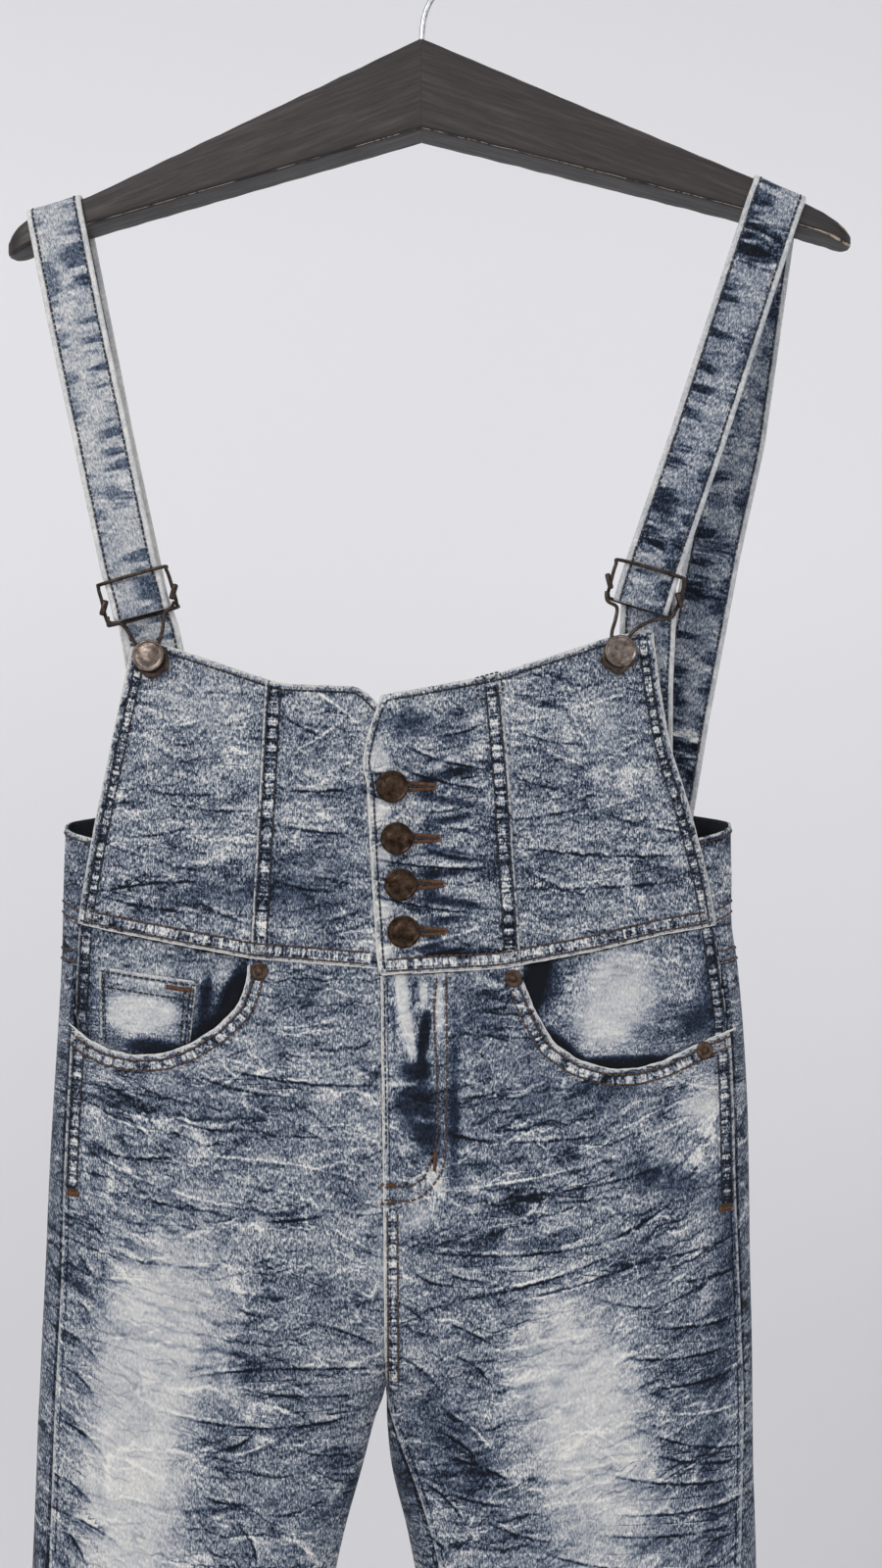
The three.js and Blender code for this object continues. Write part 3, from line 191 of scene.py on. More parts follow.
# Creases of the front: centre x, centre z, turn in degrees, half length, half width, strength (minus is a dark trough, plus a pale ridge), sag.
CREASES = [
    (-153.2, -607.9, -27, 11.2, 1.4, -0.9, -1.5), (-136.2, -607.9, -25, 9, 1.2, -0.7, -1), (-89.1, -606, -13, 24.6, 1.4, -0.9, -2), (-60.1, -601.6, -6, 35.4, 1.4, -1, -2.5),
    (-57.6, -619.9, -33, 15, 1.2, -0.8, 1.5), (-138.1, -619.2, -60, 10.1, 1.2, -0.7, -1), (-112.9, -624.3, -14, 15.6, 1.2, -0.8, -1.5), (-141.9, -640, -2, 18.9, 1.4, -1, -2),
    (-77.7, -646.3, -7, 45.6, 1.6, 0.8, 3.5), (-119.2, -654.5, -17, 46.1, 1.8, 0.8, -5.5), (-124.3, -664.8, -10, 24.2, 1.4, -1.1, -1.5), (-111.7, -667, -18, 11.9, 1.2, -0.8, -0.8),
    (-63.9, -672.3, 6, 13.9, 1.4, -1, -1), (-145.6, -692.2, -17, 13.1, 1.6, -1.1, -1.5), (-125.5, -695.3, -9, 12.7, 1.2, -0.9, -0.8), (-62, -697.2, 13, 5.8, 1, 0.7, -0.5),
    (-174.6, -696, -50, 9.8, 1.4, -0.8, 1.5), (-174.6, -719.8, -45, 8.9, 1.8, -1, 2), (-175.2, -738.7, -34, 11.3, 1.8, -1, 2), (-177.1, -756.3, -36, 10.8, 1.8, -1, 2),
    (-173.9, -787.1, -34, 14.5, 2, -1.3, 3), (-178.3, -813.2, -33, 12, 1.8, -1.1, 2), (-171.4, -831.8, -22, 16.9, 2, -1.3, 2), (-177.7, -841.8, -55, 12.2, 1.8, -1, 1.5),
    (-70.2, -751.7, 1, 40.2, 1.6, -1.1, 2.5), (-58.9, -762.9, -5, 26.5, 1.4, -1, -1.5), (-77.7, -775.4, -2, 42.8, 1.6, -1.1, -4.5), (-96.6, -787.5, 20, 12, 1.6, -1.1, -2),
    (-43.8, -795.5, -6, 13.9, 1.4, -1, -1.5), (-97.2, -816.7, -11, 13.4, 1.4, -0.9, -1.5), (-62, -822.1, 14, 13.6, 1.4, -0.9, -2), (-88.4, -839.3, -66, 11, 1.4, -1, 2),
    (-40, -731.8, -21, 16.1, 1.4, -0.8, 1.5), (-143.1, -729.9, 14, 18.1, 1.8, 0.8, -2), (-148.2, -705.6, -2, 30.2, 1.6, 0.6, 2), (-136.8, -760.1, -69, 17.5, 1.8, 0.6, -2.5),
    (-119.2, -770.4, -12, 19.3, 1.8, 0.7, -2), (-82.8, -787.4, 22, 19, 1.6, 0.9, -2), (-144.4, -800.6, -25, 15.3, 1.6, 0.7, 2), (-59.5, -842.5, -51, 8.9, 1.4, 0.9, -1.5),
    (-153.2, -621.8, -17, 21.1, 1.4, 0.7, -1.5), (-32.5, -682.1, -27, 14.1, 1.8, 0.8, -2), (-100.4, -601.6, 30, 17.5, 1.4, 0.5, -2.5), (-82.8, -711, -8, 17.8, 1.4, -0.5, -1),
    (-36.2, -698.5, 20, 14.7, 1.4, 0.5, 1.5), (-70.2, -727.4, 5, 15.1, 1.2, -0.6, -1.3), (-139.4, -818.6, -15, 16.9, 1.6, 0.6, 1.5), (-41.3, -810.4, -23, 9.6, 1.4, -0.7, -1),
    (-35, -771.4, -14, 10.4, 1.2, -0.9, -0.8), (25.4, -631.2, -11, 10.2, 1.4, -1, -1), (32.9, -609.2, 12, 12.9, 1.4, -0.9, -1), (63.1, -631.8, 4, 27.7, 1.4, -0.9, -1.5),
    (54.3, -649.1, 11, 39.8, 1.6, 0.9, -3), (87, -653.2, 12, 37.3, 1.4, -1, -2.5), (75.7, -662.3, 3, 27.7, 1.2, -0.7, -1.5), (51.8, -686.5, 4, 44.1, 1.6, -1.2, -4.5),
    (61.8, -701, 17, 43.4, 1.8, -1.2, -3), (89.5, -701, 19, 30.6, 1.6, -1, -2), (112.1, -673.3, 32, 19.2, 1.6, -1, -1.5), (117.2, -692.4, 8, 29.2, 1.6, -1.2, -2),
    (139.8, -688.4, 13, 22, 1.6, -1, -1.5), (139.8, -727.4, 3, 21.4, 1.6, -1.1, -1.5), (132.3, -742.7, 4, 23.9, 1.8, -1.2, -2), (142.3, -755.6, 10, 21.7, 1.6, -1.1, -2),
    (142.3, -771.7, 1, 18.9, 1.6, 0.8, -1.5), (138.6, -786.5, -13, 28.4, 1.8, -1, -3.5), (144.8, -797.4, -7, 24.1, 1.6, -1, -2), (91.4, -781.5, -35, 13.1, 1.6, 0.9, -1),
    (82, -783, 30, 13.1, 1.6, 0.8, -1.3), (92, -796.6, 10, 16.6, 1.6, 0.8, -1.5), (128.5, -806.6, -5, 30.3, 1.6, -1.1, -2.5), (136, -822, 4, 30.3, 1.6, -1.1, -2),
    (129.8, -833.5, 2, 34, 1.6, -1, -2), (24.8, -781.5, -40, 15.6, 1.8, 1, 2), (19.1, -789.6, -33, 10.5, 1.6, -1.1, 1.3), (30.4, -801.8, -19, 16, 1.8, -1.2, 1.5),
    (11.5, -819.2, -41, 11.6, 1.8, -1.1, 1.5), (27.9, -750.3, -41, 10, 1.8, -1.1, 1.3), (-1, -752.8, -39, 14.5, 1.6, -0.9, 2), (24.1, -702.5, -10, 8.9, 1.4, -0.9, -1),
    (5.8, -703.8, -20, 8, 1.2, -0.9, -1), (28.1, -816.9, -10, 15.6, 1.6, -0.9, -1.5), (50.8, -833.3, -15, 15.9, 1.6, -1, -1.5), (85.7, -848.1, -11, 20.5, 1.6, -0.9, -1.5),
    (10.5, -685.9, -8, 18, 1.8, 0.9, -1.3), (60.6, -701.2, 13, 33.6, 1.6, 0.9, -2), (71.9, -707.5, 15, 24.8, 1.4, 0.7, -2), (57.1, -764.1, -13, 11.9, 1.6, 0.6, -1.5),
    (128.7, -624.7, 24, 11.3, 1.8, 0.8, -1), (147.9, -629.3, 61, 12.9, 1.8, 0.7, 1), (96.1, -813.2, 17, 13.4, 1.6, 0.7, -1.5), (127.2, -704, 28, 21.4, 1.8, 0.7, -1.5),
    (147.6, -792.4, 33, 22.3, 1.8, 0.7, -2), (25.4, -731.2, -27, 11.2, 1.6, -1, 1), (60.6, -676.5, -10, 17.9, 1.6, 0.5, -1.5), (34.2, -668.3, 10, 14.1, 1.4, -0.6, -1),
    (146.1, -703.5, 9, 15.3, 1.4, -0.9, -1), (105.9, -716.1, -9, 15.3, 1.4, -0.6, -1.5), (70.7, -732.7, 4, 15.1, 1.6, 0.4, -1.5), (-6.1, -719.8, -36, 10.8, 1.4, -0.7, 1),
    (157.4, -836.8, 13, 11.6, 1.4, -0.9, -1), (7.8, -843.1, -40, 9.8, 1.6, -1, 1), (-121.7, -456.6, -3, 16.4, 1.2, -0.8, -1.3), (-144.3, -505.4, 7, 26.6, 1.4, -1, 1.5),
    (-134.3, -477.1, 8, 14, 1.2, -0.6, -1), (-109.1, -464.1, -5, 21.5, 1.4, -0.8, -1.5), (-139.3, -513.8, -9, 26.7, 1.4, -0.8, -1.5), (-101, -518.1, -24, 13.1, 1.4, -0.9, -1),
    (-129.3, -420.5, 4, 16.4, 1.4, 0.5, -1.3), (-53.6, -453.4, 0, 21.6, 1.4, -1.1, -2.5), (-56.1, -474.9, -8, 16.8, 1.2, -0.9, -1.5), (-58.6, -504.8, -10, 14.3, 1.2, -0.8, -1.3),
    (-42.5, -519.5, 15, 13, 1.2, -0.8, -1.3), (-35.9, -525.4, 16, 9.4, 1.2, -0.7, -0.8), (-61.1, -422.1, -30, 10.5, 1.4, -0.8, -1), (-43.5, -413, -37, 14.5, 1.4, 0.8, 1.3),
    (-52.3, -426.1, 34, 15.6, 1.4, 0.8, -1.5), (-43.2, -442.2, 23, 12.3, 1.2, 0.7, -1.3), (15.4, -439.4, -14, 20.7, 1.6, -1.1, -2), (20.6, -424.6, 15, 10.7, 1.2, -0.8, -1),
    (10.6, -449.5, -14, 21, 1.4, -1, -1.5), (-21.9, -445.9, -8, 7.6, 1.2, -1.2, -0.8), (-20.6, -462.5, -20, 7.2, 1.6, 1.2, -1), (-20.6, -458.3, -16, 6.5, 1.2, -1.1, -0.8),
    (4.3, -493.1, -5, 26.7, 1.8, -1.3, -1.5), (18.1, -487.2, -11, 13.1, 1.4, 0.9, -1), (1.8, -513.6, -10, 24.5, 1.8, -1.2, -1.5), (12.1, -529.2, 15, 24.7, 1.6, 0.9, -1.5),
    (13.3, -536.7, 12, 18, 1.6, -0.9, -1.3), (-19.8, -483.4, 12, 6.2, 1.4, 1.1, 0.8), (-18.8, -513.1, -16, 6.3, 1.6, 1, -0.8), (-16.1, -536.2, 11, 6.4, 1.4, 0.9, 0.8),
    (64.7, -428.3, -12, 17, 1.4, -0.7, -1.5), (78.5, -438.4, -20, 24.4, 1.8, 0.8, -2), (63.6, -467.3, 9, 17.8, 1.4, -0.8, -1.3), (89.8, -486.7, -3, 41.8, 1.4, -1.1, -2),
    (87.5, -503.8, 2, 41.5, 1.2, -0.9, -1.5), (72.2, -503.8, -20, 17.7, 1.4, -1, -1.5), (81, -419.5, -66, 19, 1.6, 0.7, -1.5), (91.3, -408.2, 15, 15.6, 1.6, 0.8, -1.3),
    (87.3, -463.8, 16, 32.9, 1.6, 0.6, -2), (98.9, -525.4, 8, 17.8, 1.2, -0.7, -1.3), (114.7, -472.1, -13, 22, 1.4, -0.7, -1.5), (15.4, -464.6, 9, 15.3, 1.4, -0.8, -1),
    (16.6, -473.4, -5, 13.9, 1.2, 0.7, -0.8), (-125.5, -438.1, -21, 10.7, 1.2, -0.7, -1), (-124.2, -493.5, -15, 14.3, 1.2, -0.5, -1), (-92.8, -434.4, -18, 8, 1.2, 0.6, -0.8),
    (58.1, -450.7, -17, 13.1, 1.4, -0.7, -1.3), (110.9, -428.1, 32, 11.9, 1.4, 0.7, -1), (-151.9, -485.9, -18, 11.9, 1.4, -0.5, -1), (-148.1, -499.8, 14, 10.4, 1.2, -0.6, -0.8),
    (33, -535, -11, 12.8, 1.4, -0.7, -1),
]
# Broad fades of the wash on the front, with painted shadows of the fly's fold, the puckers by the buttons, the seams
# and the sides of the legs: x, z, half width, half height, turn, strength (a fade above 0; below 0 partly dark wash,
# partly painted shadow).
FADES_AND_PAINTED_SHADOWS = [
    (-136, -742, 34, 54, -4, 0.34), (-150, -828, 30, 64, 4, 0.34), (-124, -690, 36, 40, 0, 0.10), (-170, -640, 10, 40, 0, 0.06), (74, -748, 34, 44, 0, 0.30), (93, -806, 40, 52, 0, 0.26),
    (-10, -556, 3.4, 10, 6, 0.5), (-7.5, -573, 3, 12, 10, 0.5), (-4, -589, 2.6, 8, 8, 0.4), (1.5, -559, 2.2, 8, 8, 0.44), (9.5, -566, 2.6, 18, 0, 0.32), (-17, -612, 2, 34, 0, 0.26), (7, -652, 4, 8, 24, 0.34), (0, -672, 12, 7, 30, 0.22),
    (-14, -570, 1.6, 20, 3, -0.24), (-4, -559, 1.4, 8, 4, -0.2), (141, -618, 18, 14, -24, 0.26), (150, -604, 8, 12, 0, 0.10), (58, -682, 40, 8, 24, 0.10), (-113, -408, 34, 20, 0, 0.14),
    (92, -424, 34, 20, 0, 0.12), (-100, -470, 40, 20, 0, 0.04), (-62, -430, 26, 20, 0, -0.05), (-56, -505, 24, 26, 0, -0.10), (-40, -470, 12, 40, 0, -0.06), (96, -455, 30, 18, 0, 0.06), (-30, -690, 14, 30, 0, 0.10), (-17, -700, 7, 60, 0, 0.14),
    (88, -500, 26, 26, 0, 0.06), (-70, -600, 30, 26, 0, 0.06), (60, -880, 40, 40, 0, 0.10),
    (-184, -760, 9, 90, 3, -0.09), (-172, -560, 8, 50, 0, -0.10), (130, -762, 14, 44, 6, -0.12), (122, -652, 30, 10, -16, -0.20), (1.5, -581, 2.2, 12, -8, -1.0), (-1, -597, 7, 5, 0, -0.6), (-3, -614, 11, 14, 0, -0.34), (3, -632, 7, 8, 0, -0.30), (-8, -604, 8, 1.6, 4, 0.3), (0, -622, 9, 1.5, -8, 0.22), (-6, -637, 8, 1.6, 6, 0.24), (6, -596, 2, 10, 0, 0.16), (17, -612, 3, 46, 0, -0.22),
    (-104, -508, 34, 9, -4, -0.16), (98, -497, 44, 7, 0, -0.12), (24, -795, 22, 44, 40, -0.18), (150, -800, 12, 70, 0, -0.16), (20, -640, 20, 30, 0, -0.08),
    (-60, -560, 22, 12, 0, -0.12), (30, -570, 14, 14, 0, -0.12), (60, -600, 20, 22, 0, -0.06), (-104, -612, 50, 14, -10, -0.10), (90, -610, 50, 12, 8, -0.12),
    (-8, -421, 15, 10, 0, -0.22), (20, -428, 14, 12, 0, -0.14), (2, -437, 16, 4, -14, 0.14), (-22, -436, 5, 9, 20, 0.34), (-22, -464, 5, 5.5, 0, 0.75), (-21, -490, 5, 5, 0, 0.7), (-20, -516, 5, 4.5, 0, 0.65), (-19, -538, 5, 4, 0, 0.6), (-23, -441, 5, 4, 10, 0.6),
    (14, -447, 14, 2.6, 14, -0.30), (17, -461, 16, 2.6, -12, -0.30), (16, -470, 15, 2.4, 10, -0.28), (18, -489, 16, 2.6, -10, -0.34), (15, -497, 15, 2.4, 8, -0.28), (18, -513, 16, 2.6, -8, -0.36), (16, -521, 14, 2.4, 6, -0.30), (16, -538, 18, 3.4, -5, -0.34),
    (2, -453, 4, 7, 0, -0.22), (4, -480, 4, 7, 0, -0.22), (5, -505, 4, 6, 0, -0.24), (6, -530, 4, 6, 0, -0.24), (12, -441, 18, 2.2, 24, 0.24), (18, -466, 12, 1.9, 4, 0.26), (20, -493, 12, 1.9, 0, 0.26), (20, -518, 12, 1.9, 0, 0.24),
    (-34, -418, 6, 12, -30, 0.14), (-46, -430, 20, 4, -30, 0.10), (-60, -500, 20, 30, 0, -0.05), (-168, -660, 9, 40, 0, -0.12), (158, -690, 8, 60, 0, -0.14), (-40, -745, 20, 22, 0, -0.06), (-30, -815, 20, 16, 40, -0.16),
    (-92, -745, 10, 40, 0, 0.06), (150, -560, 8, 24, 0, -0.06), (-60, -840, 24, 30, 0, -0.06), (-150, -960, 26, 70, 2, 0.22), (100, -950, 34, 70, -2, 0.22),
    (-150, -1090, 26, 40, 0, 0.20), (112, -1095, 28, 40, 0, 0.20), (-160, -1230, 22, 80, 0, 0.12), (124, -1240, 22, 80, 0, 0.12), (-194, -1100, 10, 60, 0, -0.16), (158, -1110, 10, 60, 0, -0.16),
]
# The back repeats only the broad ones, mirrored: the front's small marks, painted shadows among them, come from its
# placket, fly and pockets.
BROAD_FADES_AND_SHADOWS = [row for row in FADES_AND_PAINTED_SHADOWS if min(row[2], row[3]) >= 14]
# Camera and picture: the lens axis stands at (x, z), 1.05 m before the hanger, and 1600 pixels span 824 mm there.
VIEW_X, VIEW_Z, VIEW_D, VIEW_H = 10.3, -452, 1050, 824

# ---------------------------------------------------------------- the cloth's form, as the solids have it
class Track:
    """A smooth reading of one column against another."""

    def __init__(self, keys, values):
        o = np.argsort(keys)
        self.k = np.asarray(keys, float)[o]
        self.v = np.asarray(values, float)[o]
        m = np.diff(self.v) / np.diff(self.k)
        s = np.empty_like(self.k)
        s[0], s[-1] = m[0], m[-1]
        s[1:-1] = (self.v[2:] - self.v[:-2]) / (self.k[2:] - self.k[:-2])
        self.s = s

    def __call__(self, t):
        t = np.clip(np.asarray(t, float), self.k[0], self.k[-1])
        i = np.clip(np.searchsorted(self.k, t, "right") - 1, 0, len(self.k) - 2)
        h = self.k[i + 1] - self.k[i]
        u = (t - self.k[i]) / h
        return ((2 * u**3 - 3 * u**2 + 1) * self.v[i] + (u**3 - 2 * u**2 + u) * h * self.s[i] + (3 * u**2 - 2 * u**3) * self.v[i + 1] + (u**3 - u**2) * h * self.s[i + 1])


def table_tracks(table):
    return {name: Track([r[0] for r in table], [r[c] for r in table]) for c, name in enumerate(COLS)}


SIDE = {-1: table_tracks(LEFT), 1: table_tracks(RIGHT)}


def curve(rows, t):
    a = np.asarray(sorted(rows), float)
    return np.interp(t, a[:, 0], a[:, 1])


def soft(rows, t, r=4.0):
    """The same curve with its corners eased."""
    return sum(w * curve(rows, np.asarray(t, float) + d * r) for d, w in ((-1, 0.15), (-0.5, 0.2), (0, 0.3), (0.5, 0.2), (1, 0.15)))


def bumps(table, x, z):
    d = np.zeros(np.broadcast(x, z).shape)
    for fx, fz, turn, long, wide, rise in table:
        c, s = math.cos(math.radians(turn)), math.sin(math.radians(turn))
        along, across = (x - fx) * c + (z - fz) * s, -(x - fx) * s + (z - fz) * c
        d += rise * np.exp(-((along / long) ** 2) - (across / wide) ** 2)
    return d


def fades(table, x, z):
    """The wash's fades and painted shadows: x, z, half width, half height, turn, strength."""
    d = np.zeros(np.broadcast(x, z).shape)
    for fx, fz, hw, hh, turn, power in table:
        c, s = math.cos(math.radians(turn)), math.sin(math.radians(turn))
        p, q = (x - fx) * c + (z - fz) * s, -(x - fx) * s + (z - fz) * c
        d += power * np.exp(-(((p / hw) ** 2 + (q / hh) ** 2) ** 1.1))
    return d


def creases(x, z):
    """Trough depth and ridge height of the creases at a point of the front, each from 0 to about 1."""
    dark, pale = np.zeros(x.shape), np.zeros(x.shape)
    for cx, cz, turn, long, wide, amount, sag in CREASES:
        near = (np.abs(x - cx) < long * 1.5 + 6) & (np.abs(z - cz) < long * 1.5 + 6)
        if not near.any():
            continue
        c, s = math.cos(math.radians(turn)), math.sin(math.radians(turn))
        u = ((x[near] - cx) * c + (z[near] - cz) * s) / long
        v = -(x[near] - cx) * s + (z[near] - cz) * c - sag * (1 - u * u)
        w = np.exp(-(np.abs(u) ** 3.2)) * np.exp(-((v / max(wide, 1.9)) ** 2)) * abs(amount)
        (dark if amount < 0 else pale)[near] += w
    return dark, pale


def crease_lines(x, z):
    """For the nearest dark and the nearest pale crease: distance to its line in mm, and its strength there."""
    out = []
    for sign in (-1, 1):
        best = np.full(x.shape, 9.0)
        power = np.zeros(x.shape)
        for cx, cz, turn, long, wide, amount, sag in CREASES:
            if amount * sign < 0:
                continue
            near = (np.abs(x - cx) < long * 1.3 + 8) & (np.abs(z - cz) < long * 1.3 + 8)
            if not near.any():
                continue
            c, s = math.cos(math.radians(turn)), math.sin(math.radians(turn))
            u = ((x[near] - cx) * c + (z[near] - cz) * s) / long
            v = -(x[near] - cx) * s + (z[near] - cz) * c - sag * (1 - u * u)
            e = np.exp(-(np.abs(u) ** 4)) * min(1.1, abs(amount))
            b, q = best[near], power[near]
            m = (np.abs(v) + 3 * (np.abs(u) > 1.15)) < np.abs(b)
            b[m], q[m] = v[m], e[m]
            best[near], power[near] = b, q
        out += [np.clip(best, -9, 9), power]
    return out


def fly_inside(x, z, r=0.0):
    """1 inside the fly's J, measured on the right front."""
    edge = np.where(z > -640, 13.0, 13.0 - ((np.clip(-640 - z, 0, 24)) / 24) ** 2 * 22)
    return ((x > -19.5) & (x < edge - r) & (z < -549) & (z > -664)).astype(float)


def front_relief(x, z):
    dark, pale = creases(np.atleast_1d(x), np.atleast_1d(z))
    d = (0.32 * pale - 0.45 * dark).reshape(np.shape(x))
    d = d + 0.55 * fly_inside(x, z) * np.clip((14 - x) / 3, 0, 1)
    return d


def roll(z):
    w = np.clip((DIP_Z - z) / (DIP_Z - CROTCH_Z), 0, 1)
    return 1 - np.sqrt(np.maximum(0, 1 - w * w))


def ring(side, a, z, fine=True):
    a, z = np.broadcast_arrays(np.asarray(a, float), np.asarray(z, float))
    a = np.where(a < -math.pi, a + 2 * math.pi, a)
    t = SIDE[side]
    outer, inner = t["outer"](z), t["inner"](z)
    mid, half = (outer + inner) / 2, np.abs(outer - inner) / 2
    c, s = np.cos(a), np.abs(np.sin(a))
    x = mid + side * half * np.sign(c) * np.abs(c) ** (2 / SQUARE)
    g = roll(z)
    swell = np.where(c > 0, s ** (2 / SQUARE), 1 - g + g * np.maximum(s * s, 1e-12) ** (1 + (1 / SQUARE - 1) * g))
    fade = np.minimum(1, s * s * 1.4)
    front = t["front"](z) + bumps(FRONT_FOLDS, x, z) * fade
    back = t["back"](z) + bumps(BACK_FOLDS, x, z) * fade
    if fine:
        up = a > 0
        more = front_relief(np.where(up, x, -x * 0.97 + 4), np.where(up, z, z - 38)) * np.minimum(1, s * s * 3)
        front, back = front + more, back + more
    y = np.where(a > 0, -front, back) * swell
    return np.stack([x, y, z], -1)


def angle_at(side, x, z):
    t = SIDE[side]
    outer, inner = t["outer"](z), t["inner"](z)
    c = np.clip(side * (x - (outer + inner) / 2) / (np.abs(outer - inner) / 2), -1, 1)
    return np.arccos(np.sign(c) * np.abs(c) ** (SQUARE / 2))


def seam_angle(side, z):
    return angle_at(side, SIDE[side]["seam"](z), z)


def inseam_angle(side, z):
    return np.where(z > CROTCH_Z, math.pi, angle_at(side, SIDE[side]["inseam"](z), z))


def front_at(x, z, fine=True):
    x, z = np.broadcast_arrays(np.asarray(x, float), np.asarray(z, float))
    centre = (SIDE[-1]["inner"](z) + SIDE[1]["inner"](z)) / 2
    left = ring(-1, angle_at(-1, x, z), z, fine)
    right = ring(1, angle_at(1, x, z), z, fine)
    return np.where((x < centre)[..., None], left, right)


def front_frame(x, z, out=0.0, lap=False):
    """Points and outward normals of the front."""
    p = front_at(x, z)
    dx = front_at(np.asarray(x) + 0.7, z) - front_at(np.asarray(x) - 0.7, z)
    dz = front_at(x, np.asarray(z) + 0.7) - front_at(x, np.asarray(z) - 0.7)
    n = np.cross(dx, dz)
    n /= np.linalg.norm(n, axis=-1, keepdims=True)
    n *= -np.sign(n[..., 1:2])
    if lap:
        out = out + lap_rise(np.asarray(x, float))
    return p + n * np.expand_dims(np.broadcast_to(out, p.shape[:-1]), -1), n


def smooth(t):
    t = np.clip(t, 0, 1)
    return t * t * (3 - 2 * t)


def lap_rise(x):
    return LAP_RISE * (1 - smooth((x - 12) / 24))


def dense(rows, step=1.5):
    """A polyline resampled evenly, with its corners eased a little."""
    a = np.asarray(rows, float)
    run = np.concatenate([[0], np.cumsum(np.linalg.norm(np.diff(a, axis=0), axis=1))])
    n = max(3, int(run[-1] / step) + 1)
    s = np.linspace(0, run[-1], n)
    p = np.stack([np.interp(s, run, a[:, k]) for k in range(a.shape[1])], -1)
    for _ in range(3):
        p[1:-1] = (p[:-2] + 2 * p[1:-1] + p[2:]) / 4
    return p


def offset(line, d):
    """A line of x, z moved sideways by d, to the left of its direction for d above 0."""
    t = np.gradient(line, axis=0)
    t /= np.linalg.norm(t, axis=1, keepdims=True) + 1e-9
    return line + d * np.stack([-t[:, 1], t[:, 0]], -1)


def near(line, x, z):
    """Distance to a line of x, z and the distance along it."""
    p = np.stack([x.ravel(), z.ravel()], -1)
    best = np.full(len(p), 1e9)
    along = np.zeros(len(p))
    run = 0.0
    for a, b in zip(line[:-1], line[1:]):
        d = b - a
        L = math.hypot(*d)
        if L < 1e-6:
            continue
        t = np.clip(((p - a) @ d) / (L * L), 0, 1)
        q = np.linalg.norm(p - a - t[:, None] * d, axis=1)
        m = q < best
        best[m] = q[m]
        along[m] = (run + t * L)[m]
        run += L
    return best.reshape(x.shape), along.reshape(x.shape)


# ---------------------------------------------------------------- lines of the front, in x, z
def z_line(fn, z0, z1, n=60):
    z = np.linspace(z0, z1, n)
    return np.stack([fn(z), z], -1)


SEAM_L, SEAM_R = (lambda z: SIDE[-1]["seam"](z)), (lambda z: SIDE[1]["seam"](z))
top_l = z_of_top_l = lambda x: curve(BIB_TOP_LEFT, x)
top_r = lambda x: curve(BIB_TOP_RIGHT, x)
waist_l, waist_r = (lambda x: curve(WAIST_LEFT, x)), (lambda x: curve(WAIST_RIGHT, x))
LINES = {
    "arm_left": z_line(SEAM_L, -381, -524, 50),
    "arm_right": z_line(SEAM_R, -374, -525, 50),
    "princess_left": z_line(lambda z: curve(PRINCESS_LEFT, z), -398, -541, 50),
    "princess_right": z_line(lambda z: curve(PRINCESS_RIGHT, z), -395, -545, 50),
    "placket": z_line(lambda z: curve(PLACKET, z), -407, -548, 60),
    "top_left": dense([(x, top_l(x)) for x in np.linspace(-147, -22, 80)]),
    "top_right": dense([(x, top_r(x)) for x in np.linspace(-19, 118, 60)]),
    "waist_left": dense([(x, waist_l(x)) for x in np.linspace(-177, -22, 60)]),
    "waist_right": dense([(x, waist_r(x)) for x in np.linspace(-20, 152, 60)]),
    "side_left": z_line(SEAM_L, -526, -1504, 260),
    "side_right": z_line(SEAM_R, -526, -1504, 260),
    "centre": z_line(lambda z: SIDE[1]["inner"](z), -550, -764, 60),
    "inseam_right": z_line(lambda z: SIDE[1]["inseam"](z), -769, -1504, 200),
    "pocket_left": dense(POCKET_LEFT[1:11], 1.0),
    "pocket_right": dense(POCKET_RIGHT[1:11], 1.0),
}
# Topstitched bands with roping: line, offset of the band's middle, half width, strength, first and last z.
BANDS = [
    ("arm_left", 5.4, 2.1, 1.0), ("arm_right", -5.4, 2.1, 1.0), ("princess_left", 4.9, 3.1, 1.0), ("princess_right", -4.9, 3.1, 1.0),
    ("waist_left", 4.5, 2.9, 0.8), ("waist_right", 4.5, 2.9, 0.8), ("side_left", 4.7, 2.7, 0.95), ("side_right", -4.7, 2.7, 0.95), ("centre", 4.1, 2.5, 0.9),
    ("pocket_left", 5.05, 2.55, 0.75), ("pocket_right", -5.05, 2.55, 0.75),
]
BAND_END = {"side_left": -659, "side_right": -668}
BAND_START = {"centre": -668}

# ---------------------------------------------------------------- meshes
def smooth_faces(me):
    me.polygons.foreach_set("use_smooth", np.ones(len(me.polygons), bool))


def mesh_object(name, verts, faces, uv=None, attrs=None):
    me = bpy.data.meshes.new(name)
    me.from_pydata([tuple(v) for v in (np.asarray(verts) * MM).tolist()], [], faces)
    me.update()
    if uv is not None:
        layer = me.uv_layers.new(name="UVMap")
        loops = np.empty(len(me.loops), int)
        me.loops.foreach_get("vertex_index", loops)
        layer.data.foreach_set("uv", np.asarray(uv)[loops].astype(np.float32).ravel())
    for key, values in (attrs or {}).items():
        a = me.attributes.new(key, "FLOAT", "POINT")
        a.data.foreach_set("value", np.asarray(values, np.float32).ravel())
    smooth_faces(me)
    ob = bpy.data.objects.new(name, me)
    bpy.context.scene.collection.objects.link(ob)
    return ob


def grid_faces(nj, ni, keep=None):
    j, i = np.meshgrid(np.arange(nj - 1), np.arange(ni - 1), indexing="ij")
    a = j * ni + i
    f = np.stack([a, a + 1, a + ni + 1, a + ni], -1).reshape(-1, 4)
    if keep is not None:
        f = f[keep.ravel()]
    return f


def orient(P, faces, towards):
    """Turns the faces so that they look along towards."""
    n = np.cross(P[faces[:, 1]] - P[faces[:, 0]], P[faces[:, 2]] - P[faces[:, 0]])
    want = np.asarray(towards, float)
    want = want[faces[:, 0]] if want.ndim == 2 else want[None, :]
    return faces[:, ::-1] if np.sum(n * want) < 0 else faces


